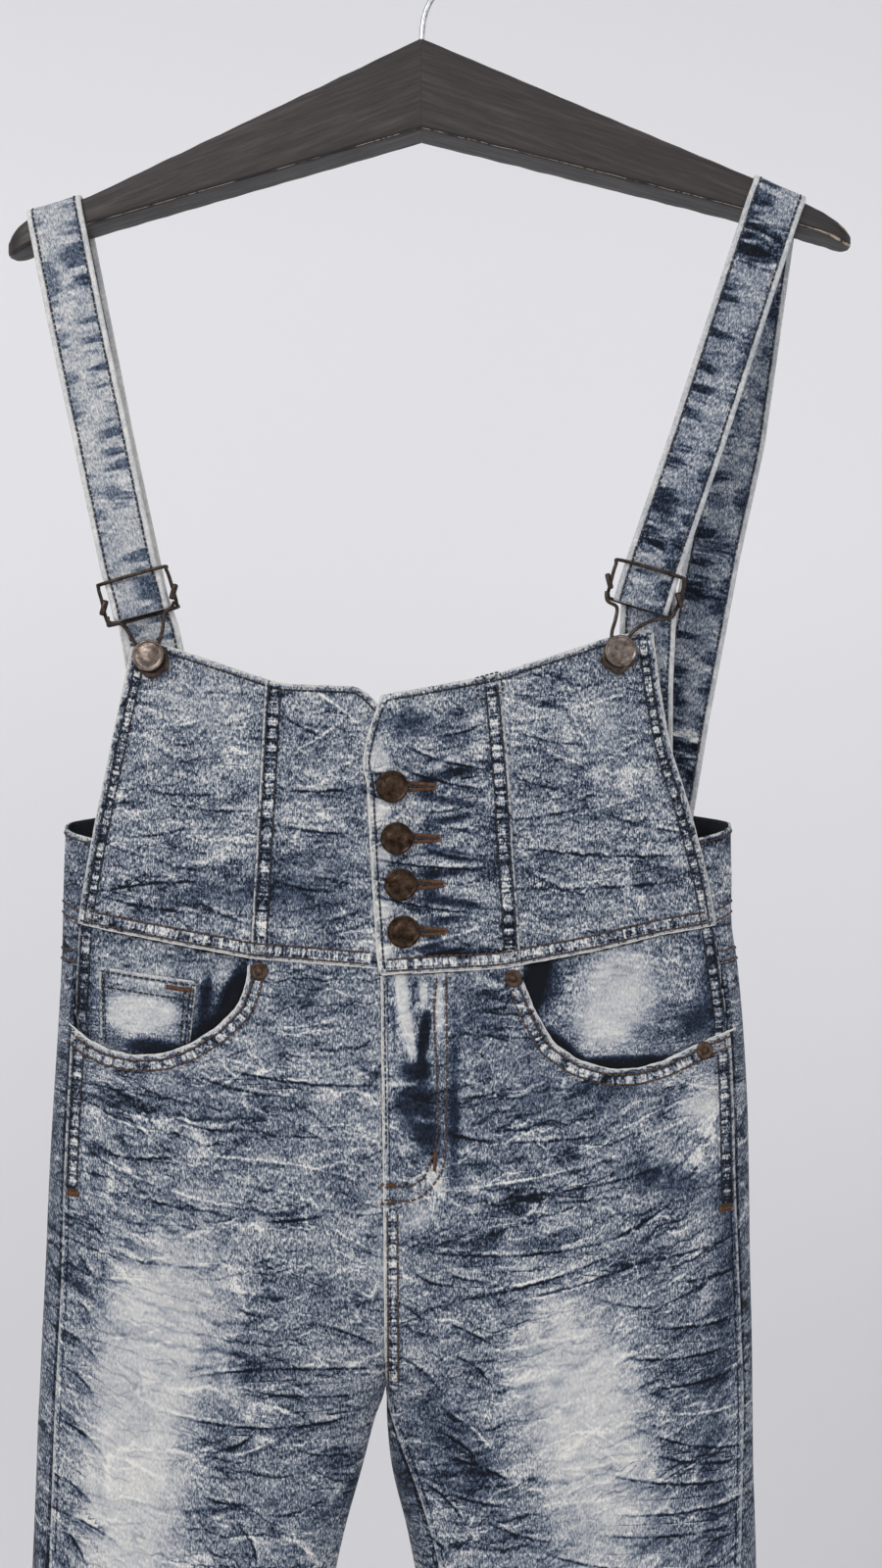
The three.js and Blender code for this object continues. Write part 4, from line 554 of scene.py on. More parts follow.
def cloth_attrs(x, z, on_front, panel_lines, rim_lines, seed):
    """What the wash reads at each point: creases, fades and painted shadows, the nearest band and the nearest worn
    edge, which also places a painted shade line.
    """
    shape = x.shape
    if on_front is True:
        dv, da, pv, pa = crease_lines(x, z)
        fade = fades(FADES_AND_PAINTED_SHADOWS, x, z)
    else:
        w = on_front > 0.5
        dv, da, pv, pa = crease_lines(np.where(w, x, -x * 0.97 + 4), np.where(w, z, z - 38))
        fade = fades(BROAD_FADES_AND_SHADOWS, -x * 0.94 + 6, z + 24) * 0.85 * (1 - on_front) + fades(FADES_AND_PAINTED_SHADOWS, x, z) * on_front
    band = np.full(shape, 9.0)
    along = np.zeros(shape)
    power = np.zeros(shape)
    for k, (name, mid, half, strength) in enumerate(BANDS):
        if name not in panel_lines:
            continue
        line = LINES[name]
        if name in BAND_END:
            line = line[line[:, 1] > BAND_END[name]]
        if name in BAND_START:
            line = line[line[:, 1] < BAND_START[name]]
        d, s = near(offset(line, mid), x, z)
        d = d / half
        m = d < band
        band[m], along[m], power[m] = d[m], s[m] * MM + k * 0.7, strength
    rim = np.full(shape, 99.0)
    for name in rim_lines:
        d, _ = near(LINES[name], x, z)
        rim = np.minimum(rim, d)
    flow = (z - 0.0013 * (x + 18) ** 2 * smooth((-560 - z) / 60) * (0.5 + 0.5 * smooth((z + 900) / 60))) * MM
    return {
        "dv": dv, "da": da, "pv": pv, "pa": pa, "fade": fade, "band": band, "along": along, "power": power, "rim": rim,
        "flow_u": x * MM, "flow_v": flow, "seed": np.full(shape, float(seed)),
    }


def thicken(ob, t):
    m = ob.modifiers.new("Wall", "SOLIDIFY")
    m.thickness = t * MM
    m.offset = -1
    m.use_even_offset = False
    m.material_offset = 1
    m.material_offset_rim = 0


def finish_piece(ob, nodes, mats):
    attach(ob, "root")
    if nodes:
        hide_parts(*nodes)
    for m in mats if isinstance(mats, (list, tuple)) else [mats]:
        ob.data.materials.append(m)
    return ob


def inside(poly, x, z):
    p = np.asarray(poly, float)
    r = np.zeros(x.shape, bool)
    for (x1, z1), (x2, z2) in zip(p, np.roll(p, -1, axis=0)):
        m = (z1 > z) != (z2 > z)
        with np.errstate(divide="ignore", invalid="ignore"):
            r ^= m & (x < (x2 - x1) * (z - z1) / (z2 - z1) + x1)
    return r


def snap(line, x, z):
    """The nearest points of a line."""
    p = np.stack([x, z], -1)
    best = np.full(len(p), 1e9)
    q = p.copy()
    for a, b in zip(line[:-1], line[1:]):
        d = b - a
        t = np.clip(((p - a) @ d) / max(1e-9, d @ d), 0, 1)
        r = a + t[:, None] * d
        e = np.linalg.norm(p - r, axis=1)
        m = e < best
        best[m], q[m] = e[m], r[m]
    return q[:, 0], q[:, 1]


# ---------------------------------------------------------------- node materials
class Tree:
    def __init__(self, name):
        self.m = bpy.data.materials.new(name)
        self.m.use_nodes = True
        self.t = self.m.node_tree
        self.t.nodes.clear()
        self.out = self.t.nodes.new("ShaderNodeOutputMaterial")
        self.b = self.t.nodes.new("ShaderNodeBsdfPrincipled")
        self.t.links.new(self.b.outputs[0], self.out.inputs[0])

    def put(self, socket, v):
        if isinstance(v, bpy.types.NodeSocket):
            self.t.links.new(v, socket)
        elif v is not None:
            socket.default_value = v

    def set(self, **kw):
        for k, v in kw.items():
            self.put(self.b.inputs[k.replace("_", " ")], v)

    def attr(self, name):
        n = self.t.nodes.new("ShaderNodeAttribute")
        n.attribute_name = name
        return n.outputs["Fac"]

    def coord(self, kind="Object"):
        return self.t.nodes.new("ShaderNodeTexCoord").outputs[kind]

    def xyz(self, x, y, z):
        n = self.t.nodes.new("ShaderNodeCombineXYZ")
        for s, v in zip(n.inputs, (x, y, z)):
            self.put(s, v)
        return n.outputs[0]

    def parts(self, v):
        n = self.t.nodes.new("ShaderNodeSeparateXYZ")
        self.put(n.inputs[0], v)
        return n.outputs

    def scale(self, v, s):
        n = self.t.nodes.new("ShaderNodeVectorMath")
        n.operation = "MULTIPLY"
        self.put(n.inputs[0], v)
        n.inputs[1].default_value = s
        return n.outputs[0]

    def noise(self, v, scale, detail=2.0, rough=0.5, distort=0.0):
        n = self.t.nodes.new("ShaderNodeTexNoise")
        self.put(n.inputs["Vector"], v)
        n.inputs["Scale"].default_value = scale
        n.inputs["Detail"].default_value = detail
        n.inputs["Roughness"].default_value = rough
        n.inputs["Distortion"].default_value = distort
        return n.outputs["Fac"]

    def wave(self, v, scale, distort=0.0, direction="X", detail=1.0, dscale=1.0):
        n = self.t.nodes.new("ShaderNodeTexWave")
        n.bands_direction = direction
        self.put(n.inputs["Vector"], v)
        n.inputs["Scale"].default_value = scale
        n.inputs["Distortion"].default_value = distort
        n.inputs["Detail"].default_value = detail
        n.inputs["Detail Scale"].default_value = dscale
        return n.outputs["Fac"]

    def voronoi(self, v, scale, feature="F1"):
        n = self.t.nodes.new("ShaderNodeTexVoronoi")
        n.feature = feature
        self.put(n.inputs["Vector"], v)
        n.inputs["Scale"].default_value = scale
        return n.outputs["Distance"]

    def math(self, op, a, b=None, c=None, clamp=False):
        n = self.t.nodes.new("ShaderNodeMath")
        n.operation = op
        n.use_clamp = clamp
        self.put(n.inputs[0], a)
        if b is not None:
            self.put(n.inputs[1], b)
        if c is not None:
            self.put(n.inputs[2], c)
        return n.outputs[0]

    def add(self, *vs):
        r = vs[0]
        for v in vs[1:]:
            r = self.math("ADD", r, v)
        return r

    def mul(self, *vs):
        r = vs[0]
        for v in vs[1:]:
            r = self.math("MULTIPLY", r, v)
        return r

    def span(self, v, a, b, c=0.0, d=1.0, smooth=True):
        n = self.t.nodes.new("ShaderNodeMapRange")
        n.interpolation_type = "SMOOTHSTEP" if smooth else "LINEAR"
        for s, x in zip(n.inputs[:5], (v, a, b, c, d)):
            self.put(s, x)
        return n.outputs[0]

    def ramp(self, v, stops):
        n = self.t.nodes.new("ShaderNodeValToRGB")
        e = n.color_ramp.elements
        while len(e) > 1:
            e.remove(e[-1])
        for k, (pos, col) in enumerate(stops):
            x = e[0] if k == 0 else e.new(pos)
            x.position = pos
            x.color = (*col, 1)
        self.put(n.inputs[0], v)
        return n.outputs[0]

    def mix(self, f, a, b):
        n = self.t.nodes.new("ShaderNodeMix")
        n.data_type = "RGBA"
        self.put(n.inputs["Factor"], f)
        for s, v in ((n.inputs[6], a), (n.inputs[7], b)):
            self.put(s, (*v, 1) if isinstance(v, tuple) and len(v) == 3 else v)
        return n.outputs[2]

    def bump(self, height, strength, distance):
        n = self.t.nodes.new("ShaderNodeBump")
        n.inputs["Strength"].default_value = strength
        n.inputs["Distance"].default_value = distance
        self.put(n.inputs["Height"], height)
        return n.outputs[0]


def srgb(*c):
    return tuple(((v / 255) / 12.92 if v / 255 <= 0.04045 else ((v / 255 + 0.055) / 1.055) ** 2.4) for v in c)


NAVY, INK, MID, LIGHT, PALE = srgb(4, 8, 18), srgb(33, 46, 66), srgb(100, 110, 126), srgb(168, 171, 175), srgb(222, 219, 213)


def denim(name, base=0.5, contrast=1.0, lines=1.0, ticks=0.0, tick_side=1, hem_tone=0.84):
    t = Tree(name)
    a = {k: t.attr(k) for k in ("dv", "da", "pv", "pa", "fade", "band", "along", "power", "rim", "flow_u", "flow_v", "seed")}
    v = t.xyz(a["flow_u"], a["flow_v"], a["seed"])

    def off(f):
        return t.math("SUBTRACT", f, 0.5)

    # cloudy wash over salt-and-pepper grain, streaked down the warp
    cloud = t.noise(t.scale(v, (1.0, 0.85, 1)), 34, 3, 0.6, 0.7)
    patch = t.noise(t.scale(v, (1.1, 0.9, 1)), 110, 3, 0.6, 0.9)
    streak = t.noise(t.xyz(t.mul(a["flow_u"], 0.34), a["flow_v"], t.math("ADD", a["seed"], 9.1)), 150, 3, 0.6, 1.2)
    fleck = t.noise(t.scale(v, (1.5, 0.8, 1)), 430, 2, 0.6)
    grit = t.noise(t.scale(v, (1.6, 0.6, 1)), 900, 2, 0.7)
    grain = t.mul(t.add(t.mul(off(fleck), 1.0 * contrast), t.mul(off(grit), 1.9 * contrast)), t.span(a["fade"], 0.05, 0.35, 1.0, 0.72))
    w = t.add(t.mul(off(cloud), 0.62 * contrast), t.mul(off(patch), 0.40 * contrast), t.mul(off(streak), 0.60 * contrast), grain, base)

    # a web of hairline crinkles: pale ones as a drawn-out net, dark ones as long arcs
    bend = t.noise(t.scale(v, (1, 1, 1)), 85, 2, 0.5)
    bend2 = t.noise(t.scale(v, (1, 1, 1)), 60, 2, 0.5)

    def web(stretch, turn, scale, thin, shift, lo, hi, gate_scale):
        c, s = math.cos(math.radians(turn)), math.sin(math.radians(turn))
        uu = t.add(t.mul(a["flow_u"], c), t.mul(a["flow_v"], s), t.mul(off(bend), 0.012))
        vv = t.add(t.mul(a["flow_v"], c), t.mul(a["flow_u"], -s), t.mul(off(bend2), 0.016))
        q = t.xyz(t.mul(uu, stretch), vv, t.math("ADD", a["seed"], shift))
        line = t.span(t.voronoi(q, scale, "DISTANCE_TO_EDGE"), 0.0, thin * scale * 0.001, 1.0, 0.0)
        gate = t.span(t.noise(t.xyz(a["flow_u"], a["flow_v"], t.math("ADD", a["seed"], shift + 3.3)), gate_scale, 2, 0.5), lo, hi)
        return t.mul(line, gate)

    def arc(stretch, turn, scale, thin, shift, lo, hi, gate_scale):
        c, s = math.cos(math.radians(turn)), math.sin(math.radians(turn))
        uu = t.add(t.mul(a["flow_u"], c), t.mul(a["flow_v"], s))
        vv = t.add(t.mul(a["flow_v"], c), t.mul(a["flow_u"], -s), t.mul(off(bend), 0.010))
        n = t.noise(t.xyz(t.mul(uu, stretch), vv, t.math("ADD", a["seed"], shift)), scale, 0.6, 0.4)
        line = t.span(t.math("ABSOLUTE", off(n)), 0.0, thin, 1.0, 0.0)
        gate = t.span(t.noise(t.xyz(t.mul(a["flow_u"], 0.7), a["flow_v"], t.math("ADD", a["seed"], shift + 5.5)), gate_scale, 2, 0.5), lo, hi)
        return t.mul(line, gate)

    pale1 = web(0.20, 8, 50, 0.66, 1.7, 0.45, 0.57, 30)
    pale2 = web(0.26, -20, 84, 0.50, 4.1, 0.46, 0.58, 42)
    dark1 = arc(0.09, 4, 60, 0.026, 2.9, 0.45, 0.56, 34)
    dark2 = arc(0.13, -12, 110, 0.030, 6.3, 0.46, 0.58, 50)
    dark3 = arc(0.14, 18, 92, 0.028, 8.8, 0.46, 0.58, 44)
    w = t.add(w, t.mul(dark1, -0.32 * lines), t.mul(dark2, -0.28 * lines), t.mul(dark3, -0.26 * lines), t.mul(pale1, 0.30 * lines), t.mul(pale2, 0.24 * lines))

    # fades bleach towards an even pale grey; dark wash and painted shadows go inky, the deepest painted shadows nearly
    # black
    fade = t.span(t.add(a["fade"], t.mul(off(patch), 0.10), t.mul(off(cloud), 0.05), t.mul(off(streak), 0.05)), 0.0, 0.34, 0.0, 0.92)
    w = t.add(t.mul(w, t.math("SUBTRACT", 1.0, fade)), t.mul(fade, t.add(0.82, t.mul(t.math("SUBTRACT", w, 0.5), 0.36))))
    dark_wash_and_shadow = t.span(t.mul(t.add(a["fade"], t.mul(off(patch), 0.16)), -1.0), 0.0, 0.30, 0.0, 0.92)
    w = t.add(t.mul(w, t.math("SUBTRACT", 1.0, dark_wash_and_shadow)), t.mul(dark_wash_and_shadow, t.add(t.span(t.mul(a["fade"], -1.0), 0.28, 0.6, 0.08, -0.12), t.mul(t.math("SUBTRACT", w, 0.5), 0.34))))

    # the listed creases: a thin dark line, a painted soft shade about it and a painted highlight beside it, and a
    # painted shade beside each pale line
    wob = t.mul(off(t.noise(v, 260, 2, 0.5)), 2.2)
    dv, pv = t.add(a["dv"], wob), t.add(a["pv"], wob)
    dl = t.mul(t.span(t.math("ABSOLUTE", dv), 0.15, 1.1, 1.0, 0.0), a["da"])
    halo = t.mul(t.span(t.math("ABSOLUTE", t.add(dv, 1.6)), 0.6, 5.0, 1.0, 0.0), a["da"])
    by = t.mul(t.span(t.math("ABSOLUTE", t.math("SUBTRACT", dv, 1.9)), 0.2, 1.3, 1.0, 0.0), a["da"])
    quiet = t.span(a["fade"], 0.05, 0.3, 1.0, 0.35)
    pl = t.mul(t.span(t.math("ABSOLUTE", pv), 0.15, 1.05, 1.0, 0.0), a["pa"], quiet)
    under = t.mul(t.span(t.math("ABSOLUTE", t.add(pv, 1.9)), 0.2, 1.9, 1.0, 0.0), a["pa"])
    worn = t.span(t.noise(v, 75, 3, 0.6), 0.38, 0.56, 0.35, 1.0)
    dl, by, pl = t.mul(dl, worn), t.mul(by, worn), t.mul(pl, worn)
    w = t.add(w, t.mul(dl, -0.50), t.mul(halo, -0.10), t.mul(by, 0.15), t.mul(pl, 0.42), t.mul(under, quiet, -0.12))

    # double-stitched bands: pale and dark rungs between two dark rows, the rows painted shade of the stitch grooves
    on = t.mul(t.span(a["band"], 0.75, 1.0, 1.0, 0.0), a["power"])
    rung = t.noise(t.xyz(t.add(a["along"], t.mul(off(fleck), 0.003)), t.mul(a["band"], 0.0012), a["seed"]), 300, 2.0, 0.6, 0.5)
    rungs = t.span(t.add(rung, t.mul(off(grit), 0.3)), 0.38, 0.62, -0.42, 0.24)
    tick = t.span(t.noise(t.xyz(a["along"], t.mul(a["band"], 0.0004), 4.4), 760, 0.5, 0.5), 0.44, 0.56, -0.16, 0.10)
    w = t.add(t.mul(w, t.math("SUBTRACT", 1.0, t.mul(on, 0.25))), t.mul(on, t.add(rungs, tick, t.span(a["power"], 0.8, 0.95, 0.32, 0.20))))
    rows = t.mul(t.span(t.math("ABSOLUTE", t.math("SUBTRACT", a["band"], 1.0)), 0.06, 0.34, 1.0, 0.0), a["power"])
    pull = t.span(t.noise(t.xyz(t.mul(a["along"], 1.0), a["band"], 7.7), 420, 1, 0.5), 0.38, 0.60, 1.0, 0.35)
    w = t.add(w, t.mul(rows, pull, -0.44))
    # a painted seam shadow just outside the band
    outer = t.mul(t.span(t.math("ABSOLUTE", t.math("SUBTRACT", a["band"], 1.62)), 0.05, 0.5, 1.0, 0.0), a["power"], t.span(rung, 0.40, 0.62, 0.2, 1.0))
    w = t.add(w, t.mul(outer, -0.14))

    # worn fold lines at the edges, with a dark shadow just inside
    wear = t.noise(v, 300, 2, 0.5)
    rim = t.mul(t.span(a["rim"], 0.5, 1.6, 1.0, 0.0), t.span(wear, 0.38, 0.54, 0.15, 0.9))
    w = t.add(t.mul(w, t.math("SUBTRACT", 1.0, rim)), t.mul(rim, t.add(0.82, t.mul(off(grit), 0.6))))
    shade = t.mul(t.span(t.math("ABSOLUTE", t.math("SUBTRACT", a["rim"], 2.9)), 0.1, 0.8, 1.0, 0.0), t.span(wear, 0.42, 0.58, 0.45, 1.0))
    w = t.add(w, t.mul(shade, -0.34))
    if ticks:
        body = t.span(a["rim"], 3.3, 4.3)
        for side, far, much, shift in ((1, 13.0, 1.0, 0.5), (-1, 5.0, 0.7, 7.5)):
            n = t.noise(t.xyz(t.mul(a["flow_u"], 0.16), a["flow_v"], t.math("ADD", a["seed"], shift)), 125, 2.5, 0.6)
            ragged = t.add(t.mul(a["flow_u"], 1000.0 * side * tick_side), t.mul(off(patch), 9.0), t.mul(off(n), 26.0))
            bars = t.mul(t.span(ragged, 11.0 - far, 13.0 - 0.4 * far), t.span(n, 0.48, 0.59), body)
            w = t.add(w, t.mul(bars, -ticks * much))
        smear = t.span(t.noise(t.xyz(t.mul(a["flow_u"], 0.2), a["flow_v"], t.math("ADD", a["seed"], 3.5)), 21, 2, 0.6), 0.55, 0.66)
        w = t.add(w, t.mul(smear, body, t.mul(off(streak), 2.2)), t.mul(smear, body, -0.30 * ticks))
        hem = t.mul(t.span(a["rim"], 2.4, 3.1, 1.0, 0.0), 0.85)
        w = t.add(t.mul(w, t.math("SUBTRACT", 1.0, hem)), t.mul(hem, t.add(hem_tone, t.mul(off(grit), 0.5), t.mul(off(patch), 0.5))))

    # twill: fine diagonal ribs
    u, q, _ = t.parts(t.coord("UV"))
    twill = t.math("SINE", t.mul(t.add(u, t.mul(q, 1.15), t.mul(off(fleck), 0.0006)), 2 * math.pi / 0.00095))
    w = t.add(w, t.mul(twill, 0.06))
    colour = t.ramp(w, [(0.02, NAVY), (0.24, INK), (0.49, MID), (0.72, LIGHT), (0.97, PALE)])
    h = t.add(t.mul(twill, 0.14), t.mul(fleck, 0.5), t.mul(grit, 0.3), t.mul(streak, 0.6), t.mul(dark1, -0.5), t.mul(dl, -0.6), t.mul(by, 0.25), t.mul(pl, 0.4))
    t.set(Base_Color=colour, Roughness=t.span(w, 0.0, 1.0, 0.86, 0.95), Normal=t.bump(h, 0.6, 0.0006))
    t.b.inputs["Specular IOR Level"].default_value = 0.2
    t.b.inputs["Sheen Weight"].default_value = 0.05
    t.b.inputs["Sheen Roughness"].default_value = 0.5
    return t.m


def inside_cloth(name, k=1.0):
    """The cloth's wrong side: paler weft, with the wash showing through."""
    t = Tree(name)
    v = t.coord("Object")
    n = t.noise(v, 90, 3, 0.6)
    f = t.noise(v, 900, 2, 0.65)
    u, q, _ = t.parts(t.coord("UV"))
    twill = t.math("SINE", t.mul(t.add(u, t.mul(q, -1.15)), 2 * math.pi / 0.00095))
    w = t.add(t.mul(n, 0.6), t.mul(f, 0.5), t.mul(twill, 0.05), -0.05)
    t.set(Base_Color=t.ramp(w, [(0.30, srgb(84 * k, 92 * k, 108 * k)), (0.5, srgb(122 * k, 130 * k, 144 * k)), (0.72, srgb(158 * k, 163 * k, 172 * k))]), Roughness=0.93, Normal=t.bump(t.add(f, t.mul(twill, 0.2)), 0.4, 0.0004))
    t.b.inputs["Specular IOR Level"].default_value = 0.2
    return t.m


def plain_cloth(name, a, b, scale=420):
    """Worn fold of cloth: pale with dark breaks."""
    t = Tree(name)
    v = t.coord("Object")
    n = t.noise(v, scale, 3, 0.6)
    f = t.noise(v, 1700, 2, 0.6)
    t.set(Base_Color=t.ramp(t.add(t.mul(n, 0.75), t.mul(f, 0.25)), [(0.30, b), (0.46, a), (0.8, tuple(min(1, c * 1.1) for c in a))]), Roughness=0.9, Normal=t.bump(f, 0.4, 0.0003))
    return t.m


def thread(name, a, b):
    t = Tree(name)
    v = t.coord("Object")
    n = t.noise(v, 900, 2, 0.6)
    w = t.wave(t.scale(v, (1, 1, 1)), 900, 2.0, "DIAGONAL")
    t.set(Base_Color=t.ramp(n, [(0.35, b), (0.62, a)]), Roughness=0.62, Normal=t.bump(w, 0.3, 0.0001))
    return t.m


def metal(name, a, b, rough=0.36, scale=300):
    t = Tree(name)
    v = t.coord("Object")
    n = t.noise(v, scale, 4, 0.6)
    f = t.noise(v, 2600, 2, 0.6)
    t.set(Base_Color=t.ramp(t.add(t.mul(n, 0.8), t.mul(f, 0.2)), [(0.34, b), (0.60, a), (0.85, tuple(min(1, c * 1.25) for c in a))]), Roughness=t.span(n, 0.2, 0.8, rough + 0.14, rough - 0.06), Normal=t.bump(f, 0.12, 0.0002))
    t.b.inputs["Metallic"].default_value = 1.0
    return t.m


def wood(name):
    t = Tree(name)
    g = t.attr("grain_u")
    k = t.attr("grain_v")
    worn = t.attr("worn")
    v = t.xyz(t.mul(g, 0.06), k, t.attr("grain_w"))
    fine = t.noise(v, 620, 4, 0.65, 0.4)
    band = t.noise(t.xyz(t.mul(g, 0.12), k, 0.4), 120, 3, 0.6, 0.8)
    pore = t.noise(t.xyz(t.mul(g, 0.10), k, 2.4), 1500, 2, 0.5)
    rub = t.noise(t.coord("Object"), 240, 4, 0.7)
    broad = t.noise(t.coord("Object"), 46, 2, 0.5)
    wear = t.mul(t.span(worn, 0.55, 0.78), t.span(rub, 0.40, 0.52), t.span(broad, 0.38, 0.50))
    # the underside painted darker: painted shade
    shade = t.span(t.attr("under"), 0.0, 1.0, 0.0, -0.16, False)
    base = t.ramp(t.add(t.mul(fine, 0.5), t.mul(band, 0.35), t.mul(pore, 0.15), shade), [(0.26, srgb(12, 7, 7)), (0.40, srgb(23, 16, 16)), (0.50, srgb(34, 26, 26)), (0.66, srgb(58, 48, 46))])
    colour = t.mix(wear, base, srgb(176, 160, 140))
    t.set(Base_Color=colour, Roughness=t.span(fine, 0.3, 0.7, 0.62, 0.42), Normal=t.bump(t.add(t.mul(fine, 0.6), t.mul(pore, 0.4)), 0.35, 0.0004))
    return t.m


# The side of each strap from which the dark bars of the wash reach inwards.
STRAP_SIDE_L, STRAP_SIDE_R = 1, -1
INSIDE = inside_cloth("denim_wrong_side")
# the same wrong side dimmed to 0.3: painted shade for the inside of the back band, in the hollow behind the bib
INSIDE_SHADED = inside_cloth("denim_wrong_side_shaded", 0.30)
DENIM = denim("denim_wash", 0.50)
DENIM_BIB = denim("denim_bib", 0.512, 1.1, 0.75)
DENIM_BACK = denim("denim_back", 0.42, 1.0, 1.0)
DENIM_STRAP_L = denim("denim_strap_pale", 0.69, 0.55, 0.1, 0.33, STRAP_SIDE_L, 0.86)
DENIM_STRAP_R = denim("denim_strap_deep", 0.54, 0.75, 0.2, 0.40, STRAP_SIDE_R, 0.80)
DENIM_POCKET = denim("denim_pocket", 0.46, 1.0, 0.5)
FOLD = plain_cloth("denim_fold_worn", srgb(204, 201, 194), srgb(104, 108, 118))
THREAD_DARK = thread("thread_dark", srgb(34, 27, 25), srgb(12, 11, 13))
THREAD_BROWN = thread("thread_brown", srgb(84, 58, 38), srgb(34, 24, 20))
THREAD_TAN = thread("thread_tan", srgb(108, 68, 36), srgb(46, 29, 18))
BRASS = metal("antique_brass", srgb(70, 56, 46), srgb(24, 17, 13))
BRASS_WORN = metal("antique_brass_worn", srgb(120, 110, 104), srgb(66, 55, 48), 0.32)
BRASS_DARK = metal("antique_brown", srgb(78, 68, 62), srgb(40, 33, 29), 0.42)
COPPER = metal("antique_copper", srgb(92, 76, 66), srgb(50, 39, 33), 0.4)
STEEL = metal("plated_wire", srgb(214, 216, 220), srgb(150, 152, 156), 0.22)
WOOD = wood("stained_wood")

# ---------------------------------------------------------------- bib panels
def bib_panel(name, xa, xb, top, low, lines, rims, lap=False, step=2.1, seed=1.0):
    rows = int(155 / step)
    zz = np.linspace(-385, -545, 9)
    cols = int(np.max(xb(zz) - xa(zz)) / step) + 1
    s = np.linspace(0, 1, cols)[None, :] * np.ones((rows, 1))
    t = np.linspace(0, 1, rows)[:, None] * np.ones((1, cols))
    z, x = np.full(s.shape, -470.0), np.zeros(s.shape)
    for _ in range(14):
        x = xa(z) + GAP / 2 + (xb(z) - xa(z) - GAP) * s
        z = top(x) + (low(x) + GAP / 2 - top(x)) * t
    rim_d = np.full(x.shape, 99.0)
    for r in rims:
        rim_d = np.minimum(rim_d, near(LINES[r], x, z)[0])
    out = 0.5 * np.exp(-((rim_d / 2.2) ** 2))
    P, n = front_frame(x, z, out, lap)
    f = grid_faces(rows, cols)
    V = P.reshape(-1, 3)
    f = orient(V, f, (0, -1, 0))
    at = cloth_attrs(x, z, True, lines, rims, seed)
    ob = mesh_object(name, V, f.tolist(), np.stack([x.ravel() * MM, z.ravel() * MM], -1), {k: q.ravel() for k, q in at.items()})
    thicken(ob, CLOTH)
    return ob


pl, pr = (lambda z: curve(PRINCESS_LEFT, z)), (lambda z: curve(PRINCESS_RIGHT, z))
finish_piece(bib_panel("bib_side_left_cloth", SEAM_L, pl, lambda x: soft(BIB_TOP_LEFT, x), waist_l, ["arm_left", "waist_left"], ["arm_left", "top_left", "waist_left"], seed=1), ["bib_side_left"], [DENIM_BIB, INSIDE])
finish_piece(bib_panel("bib_center_left_cloth", pl, lambda z: np.full(np.shape(z), float(UNDERLAP_X)), lambda x: soft(BIB_TOP_LEFT, x, 2.0), waist_l, ["princess_left", "waist_left"], ["princess_left", "top_left", "waist_left"], seed=2), ["bib_center_left"], [DENIM_BIB, INSIDE])
finish_piece(bib_panel("bib_center_right_cloth", lambda z: soft(PLACKET, z, 3), pr, lambda x: soft(BIB_TOP_RIGHT, x), waist_r, ["princess_right", "waist_right"], ["princess_right", "placket", "top_right", "waist_right"], lap=True, seed=3), ["bib_center_right"], [DENIM_BIB, INSIDE])
finish_piece(bib_panel("bib_side_right_cloth", pr, SEAM_R, lambda x: soft(BIB_TOP_RIGHT, x), waist_r, ["arm_right", "waist_right"], ["arm_right", "top_right", "waist_right"], seed=4), ["bib_side_right"], [DENIM_BIB, INSIDE])

# ---------------------------------------------------------------- rows of cloth evenly spaced between two angles
def ring_rows(side, a0, a1, zn, cols, g0=GAP / 2, g1=GAP / 2):
    """Angles of evenly spaced points along each row."""
    k = 120
    q = np.linspace(0, 1, k + 1)[None, :]
    A = a0[:, None] + (a1 - a0)[:, None] * q
    P = ring(side, A, zn[:, None] * np.ones_like(A), False)
    run = np.concatenate([np.zeros((len(zn), 1)), np.cumsum(np.linalg.norm(np.diff(P, axis=1), axis=2), axis=1)], 1)
    s = np.linspace(0, 1, cols)
    out, want = np.empty((len(zn), cols)), np.empty((len(zn), cols))
    for r in range(len(zn)):
        w = g0 + (run[r, -1] - g0 - g1) * s
        out[r] = np.interp(w, run[r], A[r])
        want[r] = w
    return out, want


def ring_frame(side, a, z, out=0.0):
    lo, hi = np.where(z > CROTCH_Z, -math.pi, -7), np.where(z > CROTCH_Z, math.pi, 7)
    p = ring(side, a, z)
    da = ring(side, np.minimum(a + 0.02, hi), z) - ring(side, np.maximum(a - 0.02, lo), z)
    dz = ring(side, a, z + 0.7) - ring(side, a, z - 0.7)
    n = np.cross(da, dz)
    n /= np.linalg.norm(n, axis=-1, keepdims=True) + 1e-12
    mid = np.stack([(SIDE[side]["outer"](z) + SIDE[side]["inner"](z)) / 2, np.zeros_like(z), z], -1)
    s = np.sign(np.median(np.sum(n * (p - mid), -1)))
    return p, n * s


